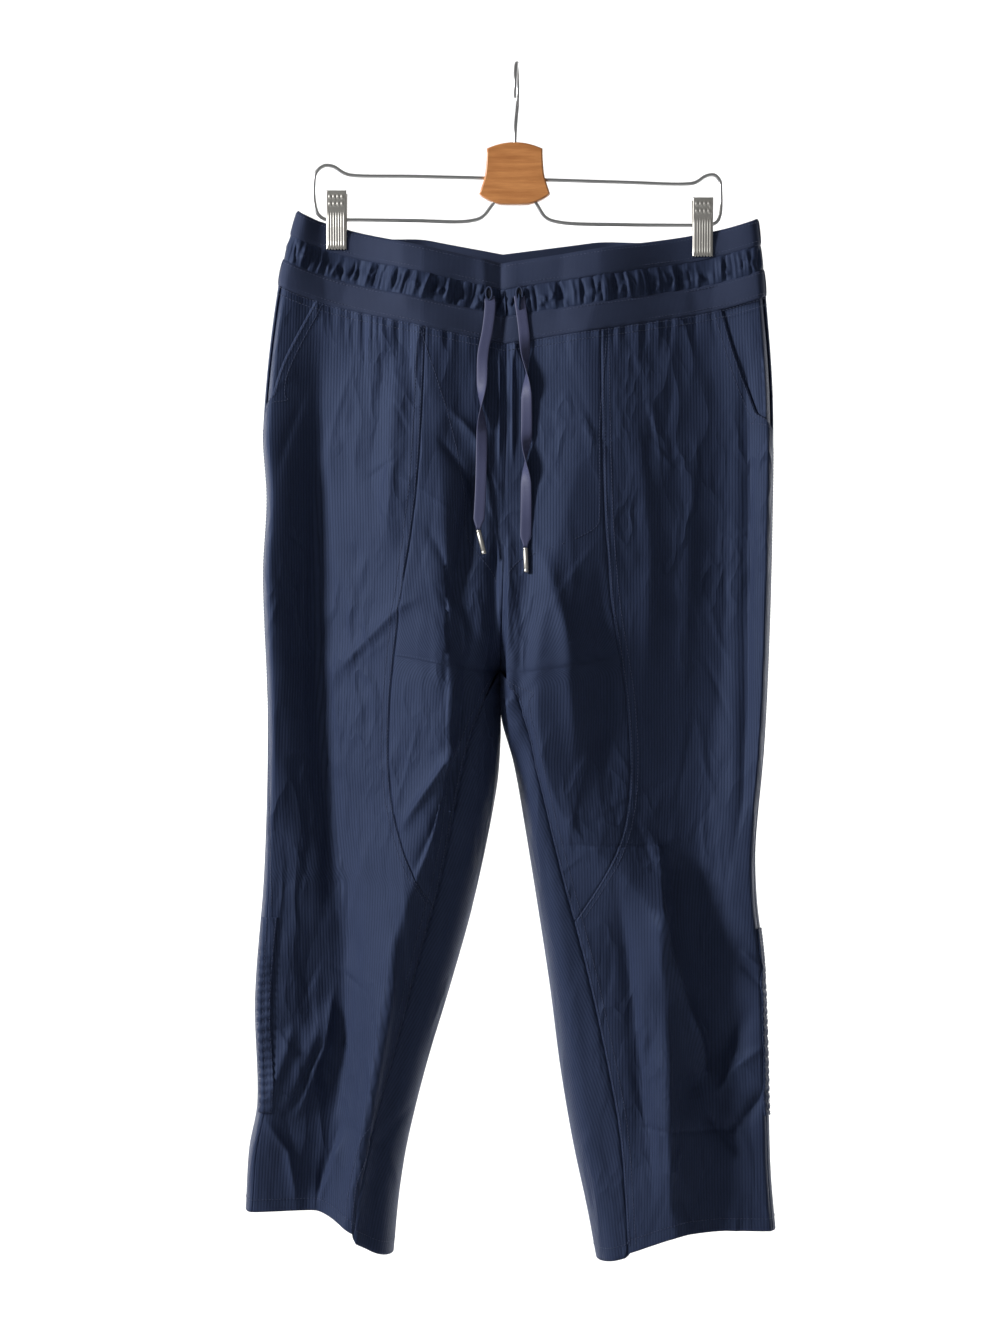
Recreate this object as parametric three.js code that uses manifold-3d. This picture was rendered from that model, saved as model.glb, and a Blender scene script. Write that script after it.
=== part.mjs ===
// Cropped woven trousers with a three-band drawstring waist, hung from a wire clip hanger.
// Units are millimetres, +Z up, and the front of the trousers faces -Y. "Left" and "right" are as seen
// from the front. The origin is the inside of the hook's crown, where a rail carries the hanger.
//
// The cloth is one surface that every panel is cut from. Each half of it is a stack of sections. A section
// runs from its outer edge, p = 0, round the front to p = 1, and round the back to p = -1. Above the crotch
// the two ends are the centre seams; below it they meet at the inner edge of the leg, so that a p beyond
// -1 comes round to the front again. The height is v: WAIST_V at the waist's top edge, 0 at the waist
// seam, CROTCH_V at the crotch and 1 at the hem.
import * as THREE from "three";
import { mergeVertices } from "three/addons/utils/BufferGeometryUtils.js";
import Module from "manifold-3d";

// ---------- driving dimensions ----------
const SEAM_GAP = 0.3; // between two pieces that are sewn together
const PANEL_THICK = 1.5;
const BAND_THICK = 2;
const WAIST_V = -0.08;
const CROTCH_V = 0.35;
const SEAM_V = 0.0002; // half a seam's gap, as a share of the height
const CROTCH_START_V = 0.2; // where the centre seam begins to curve under
const CAP_P = 0.12; // the share of p that goes round the outer edge
const INNER_P = 0.78; // where the turn to the inner edge begins
const CAP_RUN = 8; // how far the outer edge's turn reaches along X
const BACK_RISE = 10; // the waist is this much higher at the centre back
const POCKET_UNDERLAP = 12; // the facing runs on this far under the pocket's edge
const POCKET_DROP = 2.4; // from the panel's inside to the facing, at the opening
const FACING_THICK = 1;
const CASING_WIDTH = 12;
const CASING_THICK = 1;
const CORD_WIDTH = 9.5;
const CORD_THICK = 1.2;
const TIP_RADIUS = 2.2;
const TIP_LENGTH = 21;
const WIRE_RADIUS = 1.5;
const HOOK_RADIUS = 1.6;
const CLIP_WIDTH = 17.5;
const CLIP_HEIGHT = 50;
const CLIP_SHEET = 1;
const CLIP_SPREAD = 9; // how far each handle stands off the middle at its top
const PLATE_THICK = 9;

// ---------- shape tables ----------
// zOuter and zInner are the heights of a section's ends at its outer edge and at the centre.
// outer and inner are the outline. inseam, princess and pocket are seam lines on the front.
const LEFT = {
  name: "left",
  dir: 1, // the way x goes as p grows
  levels: [
    { v: -0.08, zOuter: -125, zInner: -171 },
    { v: 0, zOuter: -188, zInner: -240 },
    { v: CROTCH_V, zOuter: -502, zInner: -520 },
    { v: 1, zOuter: -981, zInner: -1012 },
  ],
  outer: [
    { z: -125, x: -189 },
    { z: -188, x: -205 },
    { z: -310, x: -218 },
    { z: -374, x: -215 },
    { z: -440, x: -218 },
    { z: -560, x: -214 },
    { z: -690, x: -217 },
    { z: -800, x: -225 },
    { z: -890, x: -223 },
    { z: -930, x: -230 },
    { z: -981, x: -233 },
  ],
  inner: [
    { z: -170, x: -12 },
    { z: -241, x: -9 },
    { z: -440, x: -12 },
    { z: -520, x: -14 },
    { z: -580, x: -14 },
    { z: -625, x: -18 },
    { z: -718, x: -37 },
    { z: -790, x: -57 },
    { z: -860, x: -78 },
    { z: -925, x: -94 },
    { z: -975, x: -102 },
    { z: -1012, x: -106 },
  ],
  // edge, valley, crest and inner are depths from the middle plane; the valley hangs from the clip
  front: [
    { v: -0.08, edge: 9, valleyX: -155, valleyHalf: 14, valley: 2.3, crestX: -80, crest: 20, inner: 11, run: 14 },
    { v: -0.04, edge: 10, valleyX: -155, valleyHalf: 12, valley: 2.6, crestX: -80, crest: 21, inner: 13, run: 14 },
    { v: 0, edge: 13, valleyX: -158, valleyHalf: 5, valley: 6, crestX: -80, crest: 24, inner: 16, run: 14 },
    { v: 0.1, edge: 24, valleyX: -169, valleyHalf: 2, valley: 10, crestX: -76, crest: 40, inner: 27, run: 20 },
    { v: 0.2, edge: 29, valleyX: -171, valleyHalf: 0, valley: 11, crestX: -66, crest: 50, inner: 36, run: 28 },
    { v: 0.35, edge: 30, valleyX: -171, valleyHalf: 0, valley: 12, crestX: -58, crest: 58, inner: 46, run: 34 },
    { v: 0.5, edge: 30, valleyX: -163, valleyHalf: 0, valley: 15, crestX: -62, crest: 56, inner: 42, run: 36 },
    { v: 0.65, edge: 28, valleyX: -148, valleyHalf: 0, valley: 20, crestX: -98, crest: 50, inner: 34, run: 30 },
    { v: 0.8, edge: 27, valleyX: -149, valleyHalf: 0, valley: 20, crestX: -118, crest: 47, inner: 32, run: 22 },
    { v: 1, edge: 27, valleyX: -182, valleyHalf: 0, valley: 24, crestX: -146, crest: 44, inner: 32, run: 20 },
  ],
  back: [
    { v: -0.08, edge: 9, valleyX: -155, valleyHalf: 14, valley: 2.3, crestX: -80, crest: 18, inner: 14, run: 14 },
    { v: -0.04, edge: 10, valleyX: -155, valleyHalf: 12, valley: 2.6, crestX: -80, crest: 20, inner: 15, run: 14 },
    { v: 0, edge: 13, valleyX: -157, valleyHalf: 5, valley: 7, crestX: -85, crest: 26, inner: 18, run: 14 },
    { v: 0.1, edge: 20, valleyX: -160, valleyHalf: 2, valley: 15, crestX: -90, crest: 44, inner: 30, run: 20 },
    { v: 0.2, edge: 24, valleyX: -164, valleyHalf: 0, valley: 22, crestX: -92, crest: 56, inner: 40, run: 28 },
    { v: 0.35, edge: 28, valleyX: -172, valleyHalf: 0, valley: 27, crestX: -92, crest: 60, inner: 48, run: 34 },
    { v: 0.5, edge: 27, valleyX: -172, valleyHalf: 0, valley: 28, crestX: -104, crest: 52, inner: 42, run: 36 },
    { v: 0.8, edge: 24, valleyX: -190, valleyHalf: 0, valley: 27, crestX: -140, crest: 42, inner: 30, run: 28 },
    { v: 1, edge: 22, valleyX: -200, valleyHalf: 0, valley: 26, crestX: -160, crest: 38, inner: 26, run: 24 },
  ],
  sideSeam: [
    { v: -0.08, p: 0.035 },
    { v: 0.4, p: 0.035 },
    { v: 0.7, p: 0.09 },
    { v: 1, p: 0.1 },
  ],
  princess: [
    { z: -200, x: -77 },
    { z: -357, x: -84 },
    { z: -446, x: -96 },
    { z: -537, x: -107 },
    { z: -597, x: -109 },
    { z: -648, x: -103 },
    { z: -693, x: -88 },
    { z: -722, x: -70 },
    { z: -760, x: -40 },
  ],
  inseam: [
    { z: -520, x: -13 },
    { z: -546, x: -27 },
    { z: -586, x: -42 },
    { z: -697, x: -65 },
    { z: -773, x: -85 },
    { z: -863, x: -109 },
    { z: -945, x: -131 },
    { z: -1012, x: -141 },
  ],
  pocket: [
    { z: -190, x: -168 },
    { z: -205, x: -174 },
    { z: -258, x: -200 },
    { z: -300, x: -212 },
    { z: -340, x: -222 },
  ],
  pocketEndV: 0.13,
  casing: { from: 0.66, to: 0.885 },
};

const RIGHT = {
  name: "right",
  dir: -1,
  levels: [
    { v: -0.08, zOuter: -132, zInner: -171 },
    { v: 0, zOuter: -198, zInner: -240 },
    { v: CROTCH_V, zOuter: -505, zInner: -520 },
    { v: 1, zOuter: -998, zInner: -1021 },
  ],
  outer: [
    { z: -132, x: 207 },
    { z: -198, x: 214 },
    { z: -290, x: 220 },
    { z: -410, x: 219 },
    { z: -512, x: 216 },
    { z: -590, x: 212 },
    { z: -670, x: 205 },
    { z: -715, x: 206 },
    { z: -770, x: 212 },
    { z: -880, x: 216 },
    { z: -950, x: 218 },
    { z: -998, x: 222 },
  ],
  inner: [
    { z: -170, x: -12 },
    { z: -241, x: -9 },
    { z: -440, x: -12 },
    { z: -520, x: -14 },
    { z: -565, x: -12 },
    { z: -600, x: -3 },
    { z: -650, x: 6 },
    { z: -718, x: 17 },
    { z: -790, x: 28 },
    { z: -860, x: 37 },
    { z: -925, x: 48 },
    { z: -990, x: 62 },
    { z: -1021, x: 68 },
  ],
  front: [
    { v: -0.08, edge: 9, valleyX: 159, valleyHalf: 14, valley: 2.3, crestX: 70, crest: 21, inner: 11, run: 14 },
    { v: -0.04, edge: 10, valleyX: 159, valleyHalf: 12, valley: 2.6, crestX: 70, crest: 22, inner: 13, run: 14 },
    { v: 0, edge: 14, valleyX: 163, valleyHalf: 5, valley: 6, crestX: 60, crest: 26, inner: 16, run: 14 },
    { v: 0.1, edge: 24, valleyX: 175, valleyHalf: 2, valley: 12, crestX: 60, crest: 42, inner: 27, run: 15 },
    { v: 0.2, edge: 29, valleyX: 177, valleyHalf: 0, valley: 13, crestX: 40, crest: 50, inner: 36, run: 15 },
    { v: 0.35, edge: 30, valleyX: 176, valleyHalf: 0, valley: 13, crestX: 18, crest: 57, inner: 46, run: 16 },
    { v: 0.5, edge: 30, valleyX: 160, valleyHalf: 0, valley: 18, crestX: 34, crest: 52, inner: 42, run: 18 },
    { v: 0.65, edge: 29, valleyX: 150, valleyHalf: 0, valley: 22, crestX: 118, crest: 44, inner: 36, run: 20 },
    { v: 0.8, edge: 28, valleyX: 158, valleyHalf: 0, valley: 22, crestX: 126, crest: 44, inner: 32, run: 20 },
    { v: 1, edge: 26, valleyX: 172, valleyHalf: 0, valley: 26, crestX: 134, crest: 42, inner: 32, run: 20 },
  ],
  back: [
    { v: -0.08, edge: 9, valleyX: 159, valleyHalf: 14, valley: 2.3, crestX: 80, crest: 18, inner: 14, run: 14 },
    { v: -0.04, edge: 10, valleyX: 159, valleyHalf: 12, valley: 2.6, crestX: 80, crest: 20, inner: 15, run: 14 },
    { v: 0, edge: 14, valleyX: 162, valleyHalf: 5, valley: 7, crestX: 80, crest: 26, inner: 18, run: 14 },
    { v: 0.1, edge: 20, valleyX: 166, valleyHalf: 2, valley: 15, crestX: 78, crest: 44, inner: 30, run: 20 },
    { v: 0.2, edge: 24, valleyX: 168, valleyHalf: 0, valley: 22, crestX: 74, crest: 56, inner: 40, run: 24 },
    { v: 0.35, edge: 28, valleyX: 170, valleyHalf: 0, valley: 27, crestX: 70, crest: 60, inner: 48, run: 26 },
    { v: 0.5, edge: 27, valleyX: 165, valleyHalf: 0, valley: 28, crestX: 84, crest: 52, inner: 42, run: 28 },
    { v: 0.8, edge: 24, valleyX: 172, valleyHalf: 0, valley: 27, crestX: 110, crest: 42, inner: 30, run: 24 },
    { v: 1, edge: 22, valleyX: 184, valleyHalf: 0, valley: 26, crestX: 120, crest: 38, inner: 26, run: 22 },
  ],
  sideSeam: [
    { v: -0.08, p: 0.035 },
    { v: 0.4, p: 0.035 },
    { v: 0.7, p: 0.07 },
    { v: 1, p: 0.08 },
  ],
  princess: [
    { z: -200, x: 71 },
    { z: -383, x: 74 },
    { z: -465, x: 81 },
    { z: -544, x: 93 },
    { z: -600, x: 96 },
    { z: -641, x: 93 },
    { z: -676, x: 83 },
    { z: -726, x: 54 },
    { z: -765, x: 24 },
  ],
  inseam: [
    { z: -520, x: -15 },
    { z: -546, x: 1 },
    { z: -609, x: 17 },
    { z: -687, x: 36 },
    { z: -771, x: 58 },
    { z: -859, x: 77 },
    { z: -925, x: 88 },
    { z: -1021, x: 95 },
  ],
  pocket: [
    { z: -190, x: 171 },
    { z: -212, x: 176 },
    { z: -255, x: 188 },
    { z: -303, x: 204 },
    { z: -345, x: 222 },
  ],
  pocketEndV: 0.14,
  casing: { from: 0.66, to: 0.87 },
};
const HALVES = [LEFT, RIGHT];

// The largest folds: a line from (x, z) to (toX, toZ), which stands out by height where that is positive.
const FRONT_FOLDS = [
  { x: -100, z: -250, toX: -112, toZ: -420, height: 4, width: 12 },
  { x: -140, z: -520, toX: -95, toZ: -470, height: 3, width: 8 },
  { x: -88, z: -660, toX: -45, toZ: -560, height: -4, width: 12 },
  { x: -30, z: -330, toX: -52, toZ: -470, height: -5, width: 9 },
  { x: -200, z: -905, toX: -160, toZ: -800, height: 6, width: 12 },
  { x: 70, z: -420, toX: 76, toZ: -640, height: -5, width: 12 },
  { x: 35, z: -450, toX: 50, toZ: -600, height: 4, width: 10 },
  { x: 90, z: -720, toX: 98, toZ: -960, height: -6, width: 11 },
  { x: 120, z: -700, toX: 178, toZ: -890, height: 5, width: 9 },
  { x: 200, z: -800, toX: 140, toZ: -900, height: -6, width: 14 },
];
const BACK_FOLDS = [
  { x: -60, z: -300, toX: -110, toZ: -520, height: 5, width: 14 },
  { x: 60, z: -300, toX: 112, toZ: -500, height: 5, width: 14 },
  { x: -150, z: -640, toX: -120, toZ: -900, height: -5, width: 14 },
  { x: 150, z: -620, toX: 118, toZ: -880, height: -5, width: 14 },
];

// ---------- maths ----------
const lerp = (a, b, t) => a + (b - a) * t;
const clamp = (t, low = 0, high = 1) => Math.min(high, Math.max(low, t));
const smooth = (t) => t * t * (3 - 2 * t);
const smoothBetween = (low, high, t) => smooth(clamp((t - low) / (high - low)));
const vec = (x, y, z) => new THREE.Vector3(x, y, z);

// A column of a table at a key's value, on a smooth curve through the rows.
function column(table, key, at, name) {
  const rising = table[table.length - 1][key] > table[0][key];
  const rows = rising ? table : [...table].reverse();
  const last = rows.length - 1;
  const t = clamp(at, rows[0][key], rows[last][key]);
  const i = clamp(rows.findIndex((row) => row[key] >= t), 1, last);
  const slope = (j) => {
    const a = rows[Math.max(j - 1, 0)];
    const b = rows[Math.min(j + 1, last)];
    return (b[name] - a[name]) / (b[key] - a[key]);
  };
  const span = rows[i][key] - rows[i - 1][key];
  const s = (t - rows[i - 1][key]) / span;
  const rise = rows[i][name] - rows[i - 1][name];
  return (
    rows[i - 1][name] +
    rise * smooth(s) +
    span * (slope(i - 1) * s * (1 - s) ** 2 - slope(i) * s * s * (1 - s))
  );
}

// From one depth to the next: a straight wall whose two ends are rounded off.
const wall = (from, to, t) => lerp(from, to, lerp(t, smooth(t), 0.6));

// ---------- the cloth surface ----------
function foldHeight(folds, x, z) {
  let sum = 0;
  for (const fold of folds) {
    const alongX = fold.toX - fold.x;
    const alongZ = fold.toZ - fold.z;
    const length = Math.hypot(alongX, alongZ);
    const share = ((x - fold.x) * alongX + (z - fold.z) * alongZ) / length ** 2;
    const away = ((x - fold.x) * alongZ - (z - fold.z) * alongX) / length / fold.width;
    const fade = smoothBetween(-0.15, 0.25, share) * smoothBetween(1.15, 0.75, share);
    sum += fold.height * fade * Math.exp(-away * away);
  }
  return sum;
}

// How closed the section is at the centre: 0 above the crotch curve, 1 in the legs.
function closing(v) {
  const t = clamp((v - CROTCH_START_V) / (CROTCH_V - CROTCH_START_V));
  return 1 - Math.sqrt(1 - t * t);
}

// How far a point sags from the outer edge's height to the centre's.
function sagShare(across, v) {
  const waist = Math.max(across, 0) ** 0.72;
  return lerp(waist, smoothBetween(0.45, 1, across), smoothBetween(0, 0.5, v));
}

function surface(half, pAsked, v) {
  const p = pAsked < -1 ? pAsked + 2 : pAsked;
  const isFront = p >= 0;
  const a = Math.abs(p);
  const level = (name) => {
    const rows = half.levels;
    const i = clamp(rows.findIndex((row) => row.v >= v), 1, rows.length - 1);
    return lerp(rows[i - 1][name], rows[i][name], (v - rows[i - 1].v) / (rows[i].v - rows[i - 1].v));
  };
  const shape = isFront ? half.front : half.back;
  const depthOf = (name) => column(shape, "v", v, name);
  const zOuter = level("zOuter");
  const zInner = level("zInner");
  const xOuter = column(half.outer, "z", zOuter, "x");
  const xInner = column(half.inner, "z", zInner, "x") - (half.dir * SEAM_GAP) / 2;
  const edge = depthOf("edge");
  const inner = depthOf("inner");
  const run = depthOf("run");
  const capEnd = xOuter + half.dir * CAP_RUN;
  const turnStart = xInner - half.dir * run;

  let x, depth;
  if (a < CAP_P) {
    const angle = ((a / CAP_P) * Math.PI) / 2;
    x = lerp(xOuter, capEnd, 1 - Math.cos(angle));
    depth = edge * Math.sin(angle);
  } else if (a < INNER_P) {
    x = lerp(capEnd, turnStart, (a - CAP_P) / (INNER_P - CAP_P));
    depth = depthBetween(half, x, capEnd, turnStart, edge, inner, depthOf);
  } else {
    const angle = (((a - INNER_P) / (1 - INNER_P)) * Math.PI) / 2;
    x = lerp(turnStart, xInner, Math.sin(angle));
    depth = inner * (1 - closing(v) * (1 - Math.cos(angle)));
  }
  const across = (x - xOuter) / (xInner - xOuter);
  const rise = isFront ? 0 : BACK_RISE * clamp(1 - v / CROTCH_V) * smoothBetween(0.35, 0.65, across);
  const z = lerp(zOuter, zInner, sagShare(across, v)) + rise;
  const fade = smoothBetween(0, 2 * CAP_P, a) * smoothBetween(1, INNER_P, a) * smoothBetween(0, 0.05, v);
  const folded = depth + fade * foldHeight(isFront ? FRONT_FOLDS : BACK_FOLDS, x, z);
  return vec(x, isFront ? -folded : folded, z);
}

// The depth along a section's middle stretch: edge, valley under the clip, crest, inner turn.
function depthBetween(half, x, capEnd, turnStart, edge, inner, depthOf) {
  const valleyX = depthOf("valleyX") * half.dir;
  const valleyHalf = Math.max(depthOf("valleyHalf"), 0);
  const stops = [
    { at: capEnd * half.dir, depth: edge },
    { at: valleyX - valleyHalf, depth: depthOf("valley") },
    { at: valleyX + valleyHalf + 0.01, depth: depthOf("valley") },
    { at: depthOf("crestX") * half.dir, depth: depthOf("crest") },
    { at: turnStart * half.dir + 0.01, depth: inner },
  ];
  const at = x * half.dir;
  const i = clamp(stops.findIndex((stop) => stop.at >= at), 1, stops.length - 1);
  const t = clamp((at - stops[i - 1].at) / (stops[i].at - stops[i - 1].at));
  return wall(stops[i - 1].depth, stops[i].depth, t);
}

// A point of the surface moved out along its normal; a negative distance moves it into the garment.
function offsetPoint(half, p, v, out) {
  const STEP = 0.004;
  const lowP = v < CROTCH_V ? Math.max(p - STEP, -1) : p - STEP;
  const alongP = surface(half, Math.min(p + STEP, 1), v).sub(surface(half, lowP, v));
  const alongV = surface(half, p, Math.min(v + STEP, 1)).sub(surface(half, p, Math.max(v - STEP, WAIST_V)));
  const normal = alongV.cross(alongP).normalize().multiplyScalar(half.dir);
  return surface(half, p, v).addScaledVector(normal, out);
}

// The p that lies a distance further along the section.
function stepAlong(half, p, v, distance) {
  const STEP = 0.01;
  const low = Math.max(p - STEP, v < CROTCH_V ? -1 : -1.6);
  const high = Math.min(p + STEP, 1);
  const perP = surface(half, high, v).distanceTo(surface(half, low, v)) / (high - low);
  return clamp(p + distance / perP, v < CROTCH_V ? -1 : -1.6, 1);
}

// The p where the front of a section crosses a seam line.
function pOnLine(half, v, line) {
  let low = 0.02;
  let high = 1;
  for (let i = 0; i < 40; i++) {
    const middle = (low + high) / 2;
    const point = surface(half, middle, v);
    const past = half.dir * (point.x - column(line, "z", point.z, "x")) > 0;
    [low, high] = past ? [low, middle] : [middle, high];
  }
  return (low + high) / 2;
}

// ---------- walls ----------
const STANDARD = { metalness: 0, roughness: 0.75 };
const finishes = {
  cloth: new THREE.MeshStandardMaterial({ color: 0x2e3856, ...STANDARD }),
  rib: new THREE.MeshStandardMaterial({ color: 0x2c3550, ...STANDARD, roughness: 0.85 }),
  ribbon: new THREE.MeshStandardMaterial({ color: 0x4d5482, ...STANDARD, roughness: 0.5 }),
  steel: new THREE.MeshStandardMaterial({ color: 0xb9b7b0, metalness: 1, roughness: 0.3 }),
  wood: new THREE.MeshStandardMaterial({ color: 0xbb7a44, ...STANDARD, roughness: 0.55 }),
};

// A closed wall between two grids of points, outside[i][j] and inside[i][j].
function wallGeometry(outside, inside) {
  const rows = outside.length;
  const columns = outside[0].length;
  const points = [...outside.flat(), ...inside.flat()];
  const index = [];
  const outer = (i, j) => i * columns + j;
  const inner = (i, j) => rows * columns + i * columns + j;
  const quad = (a, b, c, d) => index.push(a, b, c, a, c, d);
  for (let i = 0; i < rows - 1; i++) {
    for (let j = 0; j < columns - 1; j++) {
      quad(outer(i, j), outer(i + 1, j), outer(i + 1, j + 1), outer(i, j + 1));
      quad(inner(i, j), inner(i, j + 1), inner(i + 1, j + 1), inner(i + 1, j));
    }
    quad(outer(i, 0), inner(i, 0), inner(i + 1, 0), outer(i + 1, 0));
    quad(outer(i, columns - 1), outer(i + 1, columns - 1), inner(i + 1, columns - 1), inner(i, columns - 1));
  }
  for (let j = 0; j < columns - 1; j++) {
    quad(outer(0, j), outer(0, j + 1), inner(0, j + 1), inner(0, j));
    quad(outer(rows - 1, j), inner(rows - 1, j), inner(rows - 1, j + 1), outer(rows - 1, j + 1));
  }
  const geometry = new THREE.BufferGeometry().setFromPoints(points).setIndex(index);
  if (signedVolume(points, index) < 0) {
    geometry.setIndex(index.reverse());
  }
  geometry.computeVertexNormals();
  return geometry;
}

function signedVolume(points, index) {
  let six = 0;
  for (let i = 0; i < index.length; i += 3) {
    const [a, b, c] = [points[index[i]], points[index[i + 1]], points[index[i + 2]]];
    six += a.dot(vec(0, 0, 0).crossVectors(b, c));
  }
  return six / 6;
}

function named(name, geometry, material) {
  const mesh = new THREE.Mesh(geometry, material);
  mesh.name = name;
  return mesh;
}

// A panel of a half between two edges, each a function of v that gives a p. Where turnP is given, the
// columns before it keep their places while the far edge moves.
function panel(name, half, rows, columns, pFrom, pTo, { out = () => 0, thick = PANEL_THICK, turnP } = {}) {
  const TURN_SHARE = 0.72;
  const place = (from, to, share) => {
    if (turnP === undefined) {
      return lerp(from, to, share);
    }
    return share < TURN_SHARE
      ? lerp(from, turnP, share / TURN_SHARE)
      : lerp(turnP, to, (share - TURN_SHARE) / (1 - TURN_SHARE));
  };
  const grid = (inward) =>
    rows.map((v) => {
      const from = pFrom(v);
      const to = pTo(v);
      return Array.from({ length: columns + 1 }, (_, j) => {
        return offsetPoint(half, place(from, to, j / columns), v, out(j / columns) - inward);
      });
    });
  return named(name, wallGeometry(grid(0), grid(thick)), finishes.cloth);
}

// ---------- seams of one half ----------
const sideSeamP = (half, v) => column(half.sideSeam, "v", v, "p");
const inseamP = (half, v) => (v <= CROTCH_V ? 1 : pOnLine(half, v, half.inseam));
const princessP = (half, v) => pOnLine(half, v, half.princess);
const isNarrow = (half, v) => princessP(half, v) > inseamP(half, v) - 0.015;

// The height at which the princess seam runs into the inseam.
function kneeV(half) {
  let low = CROTCH_V;
  let high = 1;
  for (let i = 0; i < 30; i++) {
    const middle = (low + high) / 2;
    [low, high] = isNarrow(half, middle) ? [low, middle] : [middle, high];
  }
  return low;
}

const ROWS = [
  SEAM_V, 0.03, 0.06, 0.1, 0.14, 0.18, 0.22, 0.255, 0.285, 0.31, 0.33, 0.343, CROTCH_V,
  0.37, 0.4, 0.44, 0.48, 0.52, 0.56, 0.6, 0.66, 0.72, 0.78, 0.84, 0.885, 0.925, 0.96, 1,
];
const rowsBetween = (from, to) => [from, ...ROWS.filter((v) => v > from + 0.008 && v < to - 0.008), to];

function clothPanels(half) {
  const knee = kneeV(half);
  const gap = (p, v, side) => stepAlong(half, p, v, (side * SEAM_GAP) / 2);
  const side = (v) => sideSeamP(half, v);
  const opening = (v) => pOnLine(half, v, half.pocket);
  const outerEdge = (v) => (v < half.pocketEndV ? Math.max(opening(v), side(v)) : side(v));
  const beforeKnee = rowsBetween(SEAM_V, knee);
  const afterKnee = rowsBetween(knee, 1).slice(1);
  const front = (v) => (v <= knee ? princessP(half, v) : inseamP(half, v));
  const backEnd = (v) => (v <= CROTCH_V ? -1 : inseamP(half, v) - 2);
  const pocketRows = rowsBetween(SEAM_V, half.pocketEndV);
  return [
    panel(`front_side_${half.name}`, half, [...beforeKnee, ...afterKnee], 11,
      (v) => gap(outerEdge(v), v, 1), (v) => gap(front(v), v, -1)),
    panel(`front_centre_${half.name}`, half, beforeKnee, 6,
      (v) => gap(princessP(half, v), v, 1), (v) => (v <= CROTCH_V ? 1 : gap(inseamP(half, v), v, -1))),
    panel(`back_${half.name}`, half, [...beforeKnee, ...afterKnee], 15,
      (v) => gap(side(v), v, -1), (v) => (v <= CROTCH_V ? -1 : gap(backEnd(v), v, 1)), { turnP: -INNER_P }),
    panel(`pocket_facing_${half.name}`, half, pocketRows, 4,
      (v) => gap(side(v), v, 1), (v) => stepAlong(half, outerEdge(v), v, lerp(POCKET_UNDERLAP, 1, v / half.pocketEndV)),
      { out: (share) => -PANEL_THICK - lerp(0.5, POCKET_DROP, clamp(2 * share)), thick: FACING_THICK }),
    casing(half),
  ];
}

// The drawn-up tape over the lower side seam.
function casing(half) {
  const rows = rowsBetween(half.casing.from, half.casing.to);
  const edge = (v, way) => stepAlong(half, sideSeamP(half, v), v, (way * CASING_WIDTH) / 2);
  return panel(`side_casing_${half.name}`, half, rows, 2, (v) => edge(v, -1), (v) => edge(v, 1),
    { out: () => SEAM_GAP + CASING_THICK, thick: CASING_THICK });
}

// ---------- waistband: three bands, each of a front and a back piece ----------
const BANDS = [
  { name: "waist_lower_band", from: 0, to: -0.026 },
  { name: "waist_gathered_channel", from: -0.026, to: -0.054 },
  { name: "waist_top_band", from: -0.054, to: WAIST_V },
];
const BAND_COLUMNS = 14; // on each half

function bandPiece(band, isFront) {
  const top = band.to + (band.to > WAIST_V ? SEAM_V : 0);
  const rows = [band.from - SEAM_V, (band.from + top) / 2, top];
  const grid = (inward) =>
    rows.map((v) => {
      const along = (half) => {
        const from = stepAlong(half, sideSeamP(half, v), v, ((isFront ? 1 : -1) * SEAM_GAP) / 2);
        return Array.from({ length: BAND_COLUMNS }, (_, j) => {
          const p = lerp(from, isFront ? 1 : -1, j / BAND_COLUMNS);
          return offsetPoint(half, p, v, -inward);
        });
      };
      const centre = [offsetPoint(LEFT, isFront ? 1 : -1, v, -inward)];
      return [...along(LEFT), ...centre, ...along(RIGHT).reverse()];
    });
  const name = `${band.name}_${isFront ? "front" : "back"}`;
  const material = band.name === "waist_gathered_channel" ? finishes.cloth : finishes.rib;
  return named(name, wallGeometry(grid(0), grid(BAND_THICK)), material);
}

// ---------- drawcords: flat tape, turning over as it hangs ----------
// off is how far the tape's middle stands off the cloth, and turn is its angle about its own line, 0 where
// its face is to the front.
const CORDS = [
  {
    name: "left",
    half: LEFT,
    route: [
      { x: -24, z: -200, off: 1.2, turn: 0 },
      { x: -23, z: -207, off: 2.6, turn: 0 },
      { x: -25, z: -228, off: 3.2, turn: 0 },
      { x: -29, z: -250, off: 3.4, turn: 0 },
      { x: -30, z: -275, off: 4.4, turn: 20 },
      { x: -30.5, z: -296, off: 6, turn: 90 },
      { x: -30, z: -318, off: 4.4, turn: 165 },
      { x: -30.5, z: -350, off: 3.4, turn: 180 },
      { x: -31.5, z: -378, off: 3.4, turn: 180 },
      { x: -33, z: -401, off: 3.8, turn: 180 },
    ],
    tipEnd: { x: -27.8, z: -422 },
  },
  {
    name: "right",
    half: RIGHT,
    route: [
      { x: 2, z: -200, off: 1.2, turn: 0 },
      { x: 3, z: -208, off: 2.6, turn: 0 },
      { x: 6, z: -232, off: 3.4, turn: 0 },
      { x: 7, z: -250, off: 4.4, turn: -35 },
      { x: 8, z: -267, off: 6, turn: -90 },
      { x: 8, z: -288, off: 4.6, turn: -165 },
      { x: 8, z: -318, off: 4, turn: -180 },
      { x: 7, z: -341, off: 6, turn: -265 },
      { x: 7.5, z: -362, off: 4.4, turn: -340 },
      { x: 7.5, z: -395, off: 3.6, turn: -360 },
      { x: 7, z: -416, off: 3.8, turn: -360 },
    ],
    tipEnd: { x: 7.8, z: -437 },
  },
];
const CORD_STEP_COUNT = 26;

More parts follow.
